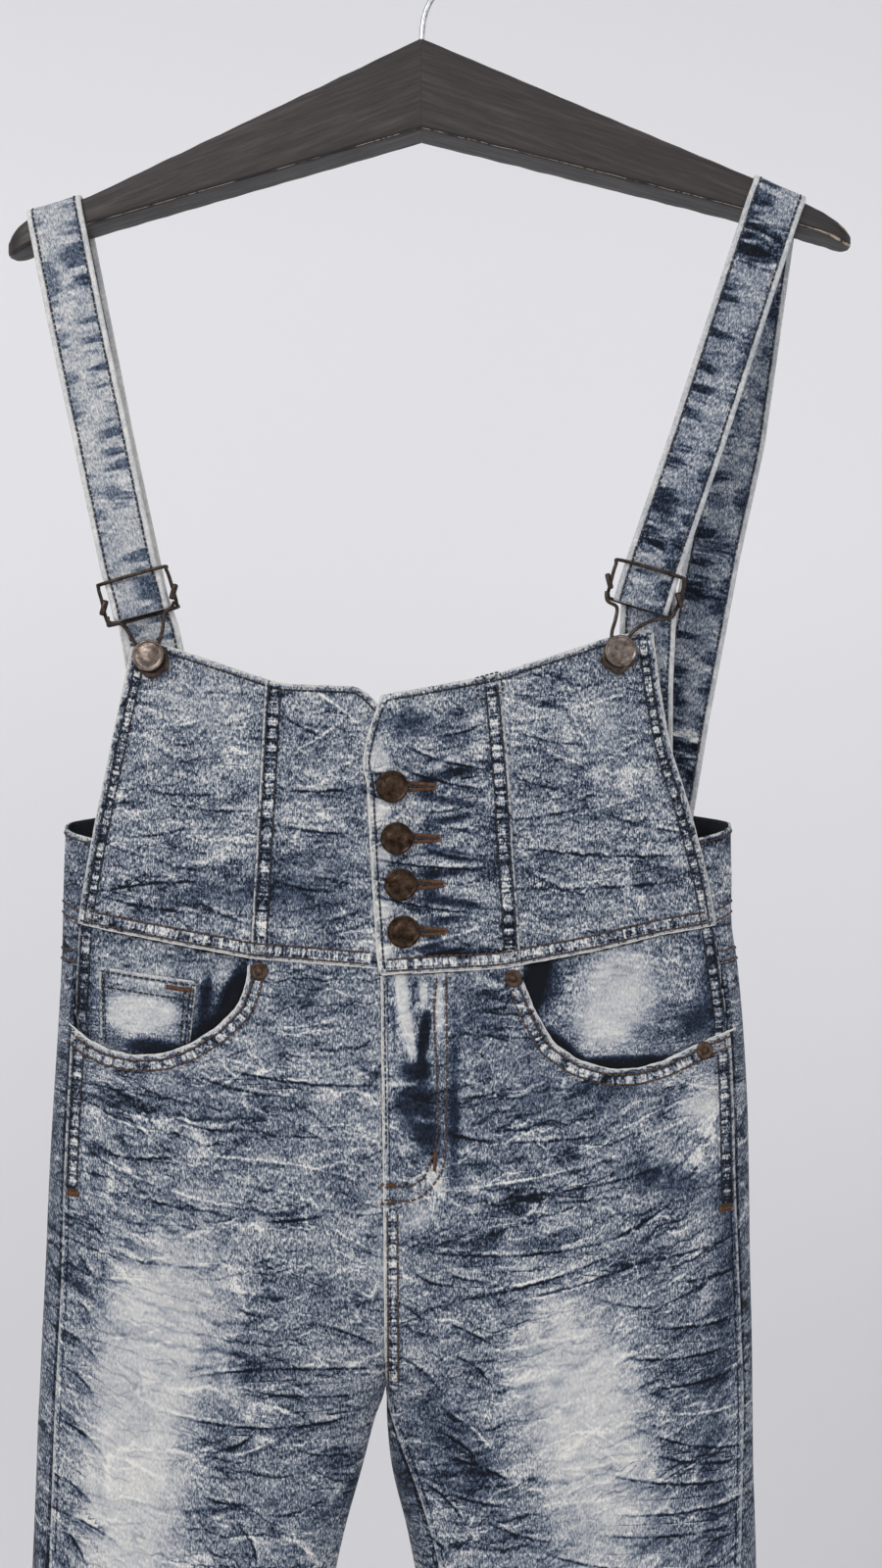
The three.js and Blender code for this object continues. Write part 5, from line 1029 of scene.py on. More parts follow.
def leg_front(side, name, waist, pocket, lines, rims, seed):
    zn = np.concatenate([np.arange(-540, -882, -2.1), np.arange(-884, -1504, -3.6), [-1505]])
    cols = 90
    a, want = ring_rows(side, seam_angle(side, zn), inseam_angle(side, zn), zn, cols)
    even = a.copy()
    x = ring(side, a, zn[:, None] * np.ones_like(a), False)[..., 0]
    z = zn[:, None] + (waist(x) + 540) * np.exp(-(((-540 - zn[:, None]) / 45) ** 2)) - GAP
    a = np.clip(angle_at(side, x, z), 0, math.pi)
    a = np.where(z < CROTCH_Z - 4, even, a)
    a[:, 0] = seam_angle(side, z[:, 0])
    x = ring(side, a, z, False)[..., 0]
    nj, ni = a.shape
    cz = (z[:-1, :-1] + z[1:, 1:]) / 2
    cx = (x[:-1, :-1] + x[1:, 1:]) / 2
    cut = inside(pocket, cx, cz)
    keep = ~cut
    touch_cut, touch_keep = np.zeros((nj, ni), bool), np.zeros((nj, ni), bool)
    for dj in (0, 1):
        for di in (0, 1):
            touch_cut[dj : nj - 1 + dj, di : ni - 1 + di] |= cut
            touch_keep[dj : nj - 1 + dj, di : ni - 1 + di] |= keep
    edge = touch_cut & touch_keep
    sx, sz = snap(dense(pocket[:11], 0.8), x[edge], z[edge])
    ok = np.hypot(sx - x[edge], sz - z[edge]) < 4
    ex, ez = x[edge].copy(), z[edge].copy()
    ex[ok], ez[ok] = sx[ok], sz[ok]
    x[edge], z[edge] = ex, ez
    aa = a[edge].copy()
    aa[ok] = angle_at(side, ex[ok], ez[ok])
    a[edge] = aa
    P, n = ring_frame(side, a, z)
    rim_d = np.full(x.shape, 99.0)
    for r in rims:
        rim_d = np.minimum(rim_d, near(LINES[r], x, z)[0])
    P = P + n * (0.45 * np.exp(-((rim_d / 2.2) ** 2)))[..., None]
    f = grid_faces(nj, ni, keep)
    V = P.reshape(-1, 3)
    f = orient(V, f, (0, -1, 0))
    at = cloth_attrs(x, z, True, lines, rims, seed)
    uv = np.stack([(want.ravel() + 30) * MM, z.ravel() * MM], -1)
    used = np.unique(f)
    remap = -np.ones(len(V), int)
    remap[used] = np.arange(len(used))
    ob = mesh_object(name, V[used], remap[f].tolist(), uv[used], {k: q.ravel()[used] for k, q in at.items()})
    thicken(ob, CLOTH)
    return ob


finish_piece(leg_front(-1, "leg_front_left_cloth", waist_l, POCKET_LEFT, ["side_left", "pocket_left"], ["side_left", "pocket_left"], 5), ["leg_front_left"], [DENIM, INSIDE])
finish_piece(leg_front(1, "leg_front_right_cloth", waist_r, POCKET_RIGHT, ["side_right", "pocket_right", "centre"], ["side_right", "pocket_right", "centre", "inseam_right"], 6), ["leg_front_right"], [DENIM, INSIDE])


def leg_back(side, name, seed):
    zn = np.concatenate([np.arange(-560, -1504, -3.4), [-1505]])
    cols = 92
    a, want = ring_rows(side, seam_angle(side, zn), inseam_angle(side, zn) - 2 * math.pi, zn, cols)
    z = zn[:, None] + (curve(YOKE, want) + 560) * np.exp(-(((-560 - zn[:, None]) / 45) ** 2)) - GAP
    P, n = ring_frame(side, a, z)
    x = P[..., 0]
    V = P.reshape(-1, 3)
    f = orient(V, grid_faces(*a.shape), n.reshape(-1, 3))
    front = np.clip(smooth((a + 0.25) / 0.5), 0, 1)
    at = cloth_attrs(x, z, front, [], [], seed)
    at["flow_u"] = want * MM * -side + side * 0.15
    # the back panels' edges get only the painted shade line of a seam, without a worn fold
    edge = np.minimum(want, want[:, -1:] - want)
    at["rim"] = np.where(edge < 3, 3.2 - edge * 0.2, 99)
    ob = mesh_object(name, V, f.tolist(), np.stack([want.ravel() * MM, z.ravel() * MM], -1), {k: q.ravel() for k, q in at.items()})
    thicken(ob, CLOTH)
    return ob


finish_piece(leg_back(-1, "leg_back_left_cloth", 7), ["leg_back_left"], [DENIM_BACK, INSIDE])
finish_piece(leg_back(1, "leg_back_right_cloth", 8), ["leg_back_right"], [DENIM_BACK, INSIDE])


def band_half(side, upper, lower, cols, rows, joined):
    t = np.linspace(0, 1, rows)[:, None] * np.ones((1, cols))
    s = np.linspace(0, 1, cols)[None, :] * np.ones((rows, 1))
    z = upper[0][1] + (lower[0][1] - upper[0][1]) * t
    k = 100
    for _ in range(5):
        a0 = seam_angle(side, z)
        q = np.linspace(0, 1, k + 1)
        A = a0[..., None] + (-math.pi - a0)[..., None] * q
        P = ring(side, A, z[..., None] * np.ones_like(A), False)
        run = np.concatenate([np.zeros(z.shape + (1,)), np.cumsum(np.linalg.norm(np.diff(P, axis=2), axis=3), axis=2)], 2)
        want = GAP / 2 + (run[..., -1] - GAP / 2 - (0 if joined else GAP / 2)) * s
        a = np.empty_like(z)
        for r in range(rows):
            for c in range(cols):
                a[r, c] = np.interp(want[r, c], run[r, c], A[r, c])
        z = curve(upper, want) + (curve(lower, want) - curve(upper, want)) * t - GAP * (0.5 - 1.5 * t)
    return a, z, want


def band_object(name, halves, seed, mat):
    Ps, ats, uvs = [], [], []
    for side, a, z, want in halves:
        P, n = ring_frame(side, a, z)
        x = P[..., 0]
        front = np.clip(smooth((a + 0.2) / 0.5), 0, 1)
        at = cloth_attrs(x, z, front, [], [], seed)
        at["flow_u"] = x * MM
        uv = np.stack([x * MM, z * MM], -1)
        if side > 0 and len(halves) > 1:
            P, uv = P[:, ::-1], uv[:, ::-1]
            at = {k: v[:, ::-1] for k, v in at.items()}
        Ps.append(P)
        ats.append(at)
        uvs.append(uv)
    if len(halves) > 1:
        Ps = [Ps[0], Ps[1][:, 1:]]
        uvs = [uvs[0], uvs[1][:, 1:]]
        ats = [ats[0], {k: v[:, 1:] for k, v in ats[1].items()}]
    P, uv = np.concatenate(Ps, 1), np.concatenate(uvs, 1)
    at = {k: np.concatenate([q[k] for q in ats], 1) for k in ats[0]}
    z = P[..., 2]
    if name.startswith("back_upper"):
        top = z[0][None, :]
        at["rim"] = np.minimum(at["rim"], top - z)
    V = P.reshape(-1, 3)
    nj, ni = P.shape[:2]
    f = orient(V, grid_faces(nj, ni), (0, 1, 0))
    ob = mesh_object(name, V, f.tolist(), uv.reshape(-1, 2), {k: q.ravel() for k, q in at.items()})
    thicken(ob, CLOTH)
    return ob


lu = band_half(-1, BACK_TOP, BACK_WAIST, 74, 26, True)
ru = band_half(1, BACK_TOP, BACK_WAIST, 78, 26, True)
finish_piece(band_object("back_upper_cloth", [(-1, *lu), (1, *ru)], 9, DENIM_BACK), ["back_upper"], [DENIM_BACK, INSIDE_SHADED])
for s, nm in ((-1, "left"), (1, "right")):
    h = band_half(s, BACK_WAIST, YOKE, 70, 18, False)
    finish_piece(band_object(f"back_yoke_{nm}_cloth", [(s, *h)], 10 + s, DENIM_BACK), [f"back_yoke_{nm}"], [DENIM_BACK, INSIDE])

# ---------------------------------------------------------------- pocket facings, coin pocket, fly facing
def patch(name, node, side, poly, depth, seed, mat, thick=FACING, top=None, opening=None, step=2.1):
    """A piece behind the front: the part of the front's form inside a polygon, moved in by depth."""
    p = np.asarray(poly, float)
    line = dense(list(poly) + [poly[0]], 1.2)
    x0, x1, z0, z1 = p[:, 0].min(), p[:, 0].max(), p[:, 1].min(), p[:, 1].max()
    xs, zs = np.arange(x0 - 1, x1 + 2, step), np.arange(z1 + 1, z0 - 2, -step)
    x, z = np.meshgrid(xs, zs)
    seam = SIDE[side]["seam"](z)
    top_z = (waist_l if side < 0 else waist_r)(x) - 0.4
    cx, cz = (x[:-1, :-1] + x[1:, 1:]) / 2, (z[:-1, :-1] + z[1:, 1:]) / 2
    keep = inside(poly, cx, cz) & (cz < (waist_l if side < 0 else waist_r)(cx) - 0.4) & (side * (SIDE[side]["seam"](cz) - cx) > 0.2)
    nj, ni = x.shape
    tk, tc = np.zeros((nj, ni), bool), np.zeros((nj, ni), bool)
    for dj in (0, 1):
        for di in (0, 1):
            tk[dj : nj - 1 + dj, di : ni - 1 + di] |= keep
            tc[dj : nj - 1 + dj, di : ni - 1 + di] |= ~keep
    edge = tk & tc
    sx, sz = snap(line, x[edge], z[edge])
    ok = np.hypot(sx - x[edge], sz - z[edge]) < step * 1.1
    ex, ez = x[edge].copy(), z[edge].copy()
    ex[ok], ez[ok] = sx[ok], sz[ok]
    x[edge], z[edge] = ex, ez
    lim = SIDE[side]["seam"](z) - side * 0.3
    x = np.where(side * (x - lim) > 0, lim, x)
    z = np.minimum(z, (waist_l if side < 0 else waist_r)(x) - 0.4)
    base = front_at(x, z, False)
    P, n = front_frame(x, z, 0.0)
    P = base + n * depth
    bands = []
    if opening is not None:
        key = "left" if side < 0 else "right"
        bands = ["side_" + key]
        d_open, _ = near(LINES["pocket_" + key], x, z)
        free = smooth((d_open - 1.5) / 6) * inside(opening, x, z)
        to_seam = side * (SIDE[side]["seam"](z) - x)
        P = P + n * ((-depth - 0.4) * free * smooth((17 - to_seam) / 8))[..., None]
        if side < 0:
            P = P - n * (3.2 * free * np.exp(-(((x + 98) / 7) ** 2) - ((z + 564) / 12) ** 2))[..., None]
    V = P.reshape(-1, 3)
    f = orient(V, grid_faces(nj, ni, keep), (0, -1, 0))
    at = cloth_attrs(x, z, True, bands, bands, seed)
    at["da"] = at["da"] * 0.2
    at["pa"] = at["pa"] * 0.2
    if top is not None:
        top(x, z, at)
    used = np.unique(f)
    remap = -np.ones(len(V), int)
    remap[used] = np.arange(len(used))
    ob = mesh_object(name, V[used], remap[f].tolist(), np.stack([x.ravel() * MM, z.ravel() * MM], -1)[used], {k: q.ravel()[used] for k, q in at.items()})
    thicken(ob, thick)
    return finish_piece(ob, [node], [mat, INSIDE])


# Painted shadow in the left pocket's opening, over the facing's own wash fades.
def shade_left(x, z, at):
    at["fade"] = at["fade"] * 0 - 0.02 + fades([(-140, -548, 60, 5, 0, 0.14), (-95, -564, 6, 15, -14, -1.6), (-102, -576, 12, 6, 26, -1.3), (-110, -560, 3, 14, -8, -0.5), (-99, -553, 6, 5, 20, 0.10), (-172, -566, 5, 20, 0, -0.14), (-106, -549, 9, 5, 0, 0.06)], x, z)


# Painted shadows in the right pocket's opening, over the facing's pale wash fade.
def shade_right(x, z, at):
    at["fade"] = at["fade"] * 0 - 0.04 + fades([(102, -556, 22, 24, 0, 0.38), (90, -577, 17, 13, 0, 0.26), (124, -566, 14, 18, 0, 0.05), (55, -563, 4.6, 24, -18, -1.5), (68, -586, 13, 5, -34, -1.3), (100, -596, 22, 3.6, 0, -0.9), (66, -552, 9, 12, 0, -0.16), (140, -574, 12, 9, 0, -0.24), (148, -548, 8, 20, 0, -0.12), (112, -594, 40, 4, 0, -0.36)], x, z)


# Painted shadows under the coin pocket's edges, with its wash fade, its stitched band and its worn edges.
def shade_coin(x, z, at):
    at["fade"] = at["fade"] * 0 + fades([(-143, -568, 21, 12, 0, 0.5), (-140, -560, 24, 2, -8, -0.14), (-119, -572, 3, 14, 0, -0.16), (-164, -570, 3, 14, 0, -0.18), (-132, -587, 24, 4.5, -10, -0.5), (-140, -551, 24, 3, -8, 0.3)], x, z)
    d1, s1 = near(dense([(-166, -550.2), (-114.4, -557.4)]), x, z)
    d2, s2 = near(dense([(-117.2, -556), (-120, -588)]), x, z)
    m = np.minimum(d1, d2)
    at["band"] = m / 3.0
    at["along"] = np.where(d1 < d2, s1, s2 + 90) * MM
    at["power"] = at["power"] * 0 + 0.3
    r1, _ = near(dense([(-166.2, -545.6), (-114.4, -552.6)]), x, z)
    r2, _ = near(dense([(-114.4, -552.6), (-117.6, -586)]), x, z)
    r3, _ = near(dense([(-166.2, -545.6), (-164.8, -584)]), x, z)
    at["rim"] = np.minimum(np.minimum(r1, r2), r3)


patch("pocket_facing_left_cloth", "pocket_facing_left", -1, FACING_LEFT, -(CLOTH + GAP + 0.2 + FACING + GAP), 12, DENIM_POCKET, top=shade_left, opening=POCKET_LEFT)
patch("pocket_facing_right_cloth", "pocket_facing_right", 1, FACING_RIGHT, -(CLOTH + GAP + 0.2), 13, DENIM_POCKET, top=shade_right, opening=POCKET_RIGHT)
patch("coin_pocket_cloth", "coin_pocket", -1, COIN, -(CLOTH + GAP), 14, DENIM_POCKET, thick=1.0, top=shade_coin)
patch("fly_facing_cloth", "fly_facing", 1, FLY, -(CLOTH + GAP + 0.2), 15, DENIM_POCKET)
# ---------------------------------------------------------------- straps
def smoothed(p, passes=2):
    p = p.copy()
    for _ in range(passes):
        p[1:-1] = (p[:-2] + 2 * p[1:-1] + p[2:]) / 4
    return p


def strap_line(rows, step=2.3):
    r = np.asarray(rows, float)
    run = np.concatenate([[0], np.cumsum(np.linalg.norm(np.diff(r[:, :3], axis=0), axis=1))])
    s = np.linspace(0, run[-1], int(run[-1] / step) + 1)
    q = smoothed(np.stack([np.interp(s, run, r[:, k]) for k in range(6)], -1))
    mid = q[:, :3]
    w = np.stack([q[:, 3], q[:, 5], q[:, 4]], -1)
    w /= np.linalg.norm(w, axis=1, keepdims=True)
    t = np.gradient(mid, axis=0)
    t /= np.linalg.norm(t, axis=1, keepdims=True)
    n = np.cross(w, t)
    n /= np.linalg.norm(n, axis=1, keepdims=True)
    return s, mid, w, n


def strap_profile():
    """u across the width, v out of it, round the folded strap."""
    h, e = STRAP_W / 2, STRAP_T / 2
    top = np.linspace(-h + e, h - e, 25)
    pts = [(u, e) for u in top]
    pts += [(h - e + e * math.sin(a), e * math.cos(a)) for a in np.linspace(0.35, math.pi - 0.35, 5)]
    pts += [(u, -e) for u in np.linspace(h - e, -h + e, 13)]
    pts += [(-h + e - e * math.sin(a), -e * math.cos(a)) for a in np.linspace(0.35, math.pi - 0.35, 5)]
    return np.asarray(pts)


# Dents across the straps: distance along, place across, turn, half length, half width, depth.
STRAP_DENTS = [(22, -4, 12, 9, 1.4, 0.5), (46, 5, -20, 8, 1.5, 0.5), (71, -6, 24, 9, 1.6, 0.6), (95, 3, -8, 11, 1.5, 0.5), (124, -3, 18, 9, 1.6, 0.55), (151, 6, -26, 8, 1.4, 0.5), (182, 0, 6, 12, 1.8, 0.5), (300, 4, -15, 9, 1.5, 0.6), (345, -5, 20, 10, 1.6, 0.6), (400, 3, -10, 10, 1.5, 0.6), (455, -4, 14, 9, 1.4, 0.5), (510, 2, -18, 9, 1.5, 0.5)]


def strap(name, node, rows, mat, seed, flip=1):
    s, mid, w, n = strap_line(rows)
    prof = strap_profile()
    U = np.broadcast_to(prof[:, 0], (len(s), len(prof)))
    S = np.broadcast_to(s[:, None], U.shape)
    dent = bumps([(a, b * flip, t * flip, l, wd, d) for a, b, t, l, wd, d in STRAP_DENTS], S, U)
    wave = 0.22 * np.sin(S * 0.33 + np.sin(S * 0.11) * 2 + U * 0.12 + seed)
    roll_edge = 0.30 * np.exp(-(((np.abs(U) - 13.3) / 1.3) ** 2)) - 0.30 * np.exp(-(((np.abs(U) - 11.0) / 1.0) ** 2)) + 0.12 * np.exp(-(((np.abs(U) - 8.6) / 1.6) ** 2))
    side = np.sign(prof[:, 1])[None, :]
    V = prof[:, 1][None, :] + (wave - dent) * 0.8 + side * roll_edge * (0.7 + 0.5 * np.sin(S * 0.9 + np.sin(S * 0.37) * 2))
    P = mid[:, None, :] + w[:, None, :] * U[..., None] + n[:, None, :] * V[..., None]
    nj, ni = U.shape
    faces = []
    for j in range(nj - 1):
        b = j * ni
        for i in range(ni):
            k = (i + 1) % ni
            faces.append((b + i, b + k, b + ni + k, b + ni + i))
    faces.append(tuple(range(ni))[::-1])
    faces.append(tuple((nj - 1) * ni + i for i in range(ni)))
    # The runs behind the hanger get a slightly darker tone: painted shade.
    back = smooth((mid[:, 1] - 4) / 8)[:, None] * np.ones(U.shape)
    fade = -0.05 * back
    at = {
        "dv": np.full(U.shape, 9.0), "da": np.zeros(U.shape), "pv": np.full(U.shape, 9.0), "pa": np.zeros(U.shape), "fade": fade, "band": np.full(U.shape, 9.0), "along": S * MM,
        "power": np.zeros(U.shape), "rim": STRAP_W / 2 - np.abs(U) + 0.1, "flow_u": U * MM, "flow_v": S * MM, "seed": np.full(U.shape, float(seed)),
    }
    uv = np.stack([U.ravel() * MM, S.ravel() * MM], -1)
    ob = mesh_object(name, P.reshape(-1, 3), faces, uv, {k: q.ravel() for k, q in at.items()})
    bm_normals(ob)
    finish_piece(ob, [node], mat)
    rows_out = []
    for sign in (-1, 1):
        for face in (1, -1):
            rows_out.append((mid + w * (sign * 11.1) + n * (face * (STRAP_T / 2 - 0.12)), n * face))
    return rows_out


def bm_normals(ob, crisp_x=None):
    import bmesh

    bm = bmesh.new()
    bm.from_mesh(ob.data)
    bmesh.ops.recalc_face_normals(bm, faces=bm.faces)
    if crisp_x is not None:
        for e in bm.edges:
            if all(abs(q.co.x - crisp_x * MM) < 1e-6 for q in e.verts):
                e.smooth = False
    bm.to_mesh(ob.data)
    bm.free()


strap_rows = []
strap_rows += strap("strap_left_cloth", "strap_left", STRAP_LEFT, DENIM_STRAP_L, 21)
strap_rows += strap("strap_right_cloth", "strap_right", STRAP_RIGHT, DENIM_STRAP_R, 22, -1)
strap_rows += strap("strap_tail_left_cloth", "strap_tail_left", TAIL_LEFT, DENIM_STRAP_L, 23)
strap_rows += strap("strap_tail_right_cloth", "strap_tail_right", TAIL_RIGHT, DENIM_STRAP_R, 24, -1)


# ---------------------------------------------------------------- rods, turned parts and joined meshes
class Heap:
    """Vertices and faces of many small parts in one mesh."""

    def __init__(self):
        self.v, self.f, self.n = [], [], 0

    def put(self, v, f):
        v = np.asarray(v, float)
        self.v.append(v)
        self.f += [tuple(i + self.n for i in q) for q in f]
        self.n += len(v)

    def tiles(self, V, F):
        """V is (many, points, 3) and F the faces of one."""
        k, m = V.shape[:2]
        base = (np.arange(k) * m)[:, None, None] + self.n
        for size in {len(q) for q in F}:
            a = np.asarray([q for q in F if len(q) == size])[None] + base
            self.f += [tuple(q) for q in a.reshape(-1, size).tolist()]
        self.v.append(V.reshape(-1, 3))
        self.n += k * m

    def make(self, name):
        return mesh_object(name, np.concatenate(self.v), self.f)


def catmull(points, per=8, closed=False):
    p = np.asarray(points, float)
    n = len(p)
    out = []
    for k in range(n if closed else n - 1):
        a, b, c, d = (p[(k + i) % n] if closed else p[min(max(k + i, 0), n - 1)] for i in (-1, 0, 1, 2))
        for t in np.arange(per) / per:
            out.append(0.5 * (2 * b + (c - a) * t + (2 * a - 5 * b + 4 * c - d) * t * t + (3 * b - a - 3 * c + d) * t**3))
    if not closed:
        out.append(p[-1])
    return np.asarray(out)


def rod(points, r, sides=12, closed=False):
    p = np.asarray(points, float)
    n = len(p)
    r = np.broadcast_to(r, (n,))
    t = np.roll(p, -1, 0) - np.roll(p, 1, 0) if closed else np.gradient(p, axis=0)
    t /= np.linalg.norm(t, axis=1, keepdims=True) + 1e-12
    u = np.array([0.13, 1, 0.07])
    V = []
    for k in range(n):
        u = u - t[k] * np.dot(u, t[k])
        u /= np.linalg.norm(u)
        w = np.cross(t[k], u)
        a = 2 * np.pi * np.arange(sides) / sides
        V.append(p[k] + r[k] * (np.cos(a)[:, None] * u + np.sin(a)[:, None] * w))
    F = []
    for k in range(n if closed else n - 1):
        for s in range(sides):
            a, b = k * sides + s, k * sides + (s + 1) % sides
            c, d = ((k + 1) % n) * sides + (s + 1) % sides, ((k + 1) % n) * sides + s
            F.append((a, b, c, d))
    if not closed:
        F.append(tuple(range(sides))[::-1])
        F.append(tuple((n - 1) * sides + s for s in range(sides)))
    return np.concatenate(V), F


def basis(n):
    n = np.asarray(n, float)
    n = n / np.linalg.norm(n)
    up = np.array([0, 0, 1.0])
    u = np.cross(up, n)
    u /= np.linalg.norm(u)
    return u, np.cross(n, u), n


def lathe(profile, at, n, sides=48):
    u, v, n = basis(n)
    a = 2 * np.pi * np.arange(sides) / sides
    V, F = [at + n * profile[0][1]], []
    rings = profile[1:-1]
    for r, h in rings:
        V += list(at + n * h + r * (np.cos(a)[:, None] * u + np.sin(a)[:, None] * v))
    V.append(at + n * profile[-1][1])
    last = len(V) - 1
    for s in range(sides):
        F.append((0, 1 + (s + 1) % sides, 1 + s))
        F.append((last, last - sides + s, last - sides + (s + 1) % sides))
    for k in range(len(rings) - 1):
        for s in range(sides):
            a0, b0 = 1 + k * sides + s, 1 + k * sides + (s + 1) % sides
            F.append((a0, b0, b0 + sides, a0 + sides))
    return V, F


BUTTON = [(0, 0), (2.6, 0), (2.6, 1.9), (7.0, 1.9), (7.9, 2.1), (8.35, 2.7), (8.3, 3.3), (7.95, 3.7), (7.5, 3.8), (7.15, 3.65), (6.9, 3.45), (6.3, 3.45), (4.7, 3.5), (4.4, 3.65), (2.4, 3.75), (1.2, 3.8), (0, 3.82)]
RIVET = [(0, 0), (4.6, 0), (4.6, 0.35), (4.3, 0.75), (3.6, 0.95), (2.9, 0.85), (2.5, 0.75), (1.9, 1.0), (1.6, 1.6), (1.1, 1.85), (0, 1.9)]


def bead(r, sides=7):
    return [(0, -r * 0.5)] + [(r * math.cos(a), r * math.sin(a)) for a in (0, 0.55, 1.1)] + [(0, r)]


def button(name, node, at, n, high=0.0, mat=None, ring=14):
    h = Heap()
    prof = [(r, q + high if q > 0 else 0) for r, q in BUTTON]
    h.put(*lathe(prof, at, n, 56))
    u, v, nn = basis(n)
    for k in range(ring):
        a = 2 * math.pi * (k + 0.5) / ring
        h.put(*lathe(bead(0.34), at + nn * (3.42 + high) + 5.7 * (math.cos(a) * u + math.sin(a) * v), nn, 8))
    finish_piece(h.make(name), [node], mat or BRASS)


for k, (x, z) in enumerate(FRONT_BUTTONS):
    p, n = front_frame(np.array([float(x)]), np.array([float(z)]), GAP + 0.25, True)
    coarse, nc = front_at(np.array([float(x)]), np.array([float(z)]), False), None
    n0 = n[0] * 0.3 + np.array([0, -1, 0.02]) * 0.7
    at = coarse[0] + (lap_rise(np.array([x]))[0] + GAP + 0.25) * n0 / np.linalg.norm(n0)
    button(f"front_button_{k + 1}_head", f"front_button_{k + 1}", at, n0)
for name, (x, z) in {"rivet_left": (-82.4, -547.4), "rivet_right_inner": (47.2, -551.2), "rivet_right_outer": (145.1, -588.4)}.items():
    p, n = front_frame(np.array([x]), np.array([z]), 0.35)
    h = Heap()
    h.put(*lathe(RIVET, p[0], n[0] * 0.6 + np.array([0, -0.4, 0]), 36))
    finish_piece(h.make(name + "_cap"), [name], COPPER)


def brick(at, size, tilt, round_=0.7):
    """A crimp plate with rounded edges: rings of a rounded rectangle."""
    sx, sy, sz = size
    c, s = math.cos(math.radians(tilt)), math.sin(math.radians(tilt))
    out, F = [], []
    levels = [(-1, 0.55), (-0.93, 0.86), (-0.75, 1), (0.75, 1), (0.93, 0.86), (1, 0.55)]
    k = 20
    for lz, g in levels:
        for a in 2 * np.pi * np.arange(k) / k:
            ca, sa = math.cos(a), math.sin(a)
            x = sx / 2 * g * np.sign(ca) * abs(ca) ** 0.55
            y = sy / 2 * g * np.sign(sa) * abs(sa) ** 0.55
            z = lz * sz / 2
            out.append([at[0] + x * c + z * s, at[1] + y, at[2] - x * s + z * c])
    for l in range(len(levels) - 1):
        for i in range(k):
            F.append((l * k + i, l * k + (i + 1) % k, (l + 1) * k + (i + 1) % k, (l + 1) * k + i))
    F.append(tuple(range(k))[::-1])
    F.append(tuple((len(levels) - 1) * k + i for i in range(k)))
    return out, F


for side, f in FAST.items():
    h = Heap()
    h.put(*rod(catmull(f["loop"], 7, True), CLASP_R + 0.1, 12, True))
    for x, y, z, tilt in f["plates"]:
        h.put(*brick((x, y - 0.4, z), (2.8, 4.4, 8.2), tilt))
    ob = finish_piece(h.make(f"slider_{side}_wire"), [f"slider_{side}"], BRASS_DARK)
    bx, bz, lean = f["button"]
    p = front_at(np.array([bx]), np.array([bz]), False)[0]
    e = 0.8
    dx = front_at(np.array([bx + e]), np.array([bz]), False)[0] - front_at(np.array([bx - e]), np.array([bz]), False)[0]
    dz = front_at(np.array([bx]), np.array([bz + e]), False)[0] - front_at(np.array([bx]), np.array([bz - e]), False)[0]
    n = np.cross(dx, dz)
    n /= np.linalg.norm(n)
    n *= -np.sign(n[1])
    p = p + n * (GAP + 0.2)
    t = math.radians(-lean * 0.4)
    n = np.array([n[0], n[1] * math.cos(t) - n[2] * math.sin(t), n[1] * math.sin(t) + n[2] * math.cos(t)])
    px, pz = f["plate"]
    plate = front_at(np.array([px]), np.array([pz]), False)[0] + n * 1.5
    u, v, nn = basis(n)
    h = Heap()
    m = 60
    a = 2 * np.pi * np.arange(m) / m
    r = 8.8 + 0.6 * np.cos(5 * a + math.pi / 2)
    V, F = [], []
    for off, hh in ((-0.35, 0), (0, 0.2), (0, 0.6), (-0.35, 0.85), (-2.4, 0.85)):
        V += list(plate + nn * hh + ((r + off)[:, None] * (np.cos(a)[:, None] * u + np.sin(a)[:, None] * v)))
    for l in range(4):
        for i in range(m):
            F.append((l * m + i, l * m + (i + 1) % m, (l + 1) * m + (i + 1) % m, (l + 1) * m + i))
    F.append(tuple(range(m))[::-1])
    F.append(tuple(4 * m + i for i in range(m)))
    h.put(V, F)
    for wire in f["wires"]:
        q = [list(c) for c in wire]
        dig = plate + nn * 0.4
        q[-1][1] = dig[1] - ((q[-1][0] - dig[0]) * n[0] + (q[-1][2] - dig[2]) * n[2]) / n[1]
        h.put(*rod(catmull(q, 6), CLASP_R + 0.1, 12))
    finish_piece(h.make(f"clasp_{side}_wire"), [f"clasp_{side}"], BRASS_DARK)
    button(f"strap_button_{side}_head", f"strap_button_{side}", p, n, 1.3, BRASS_WORN)

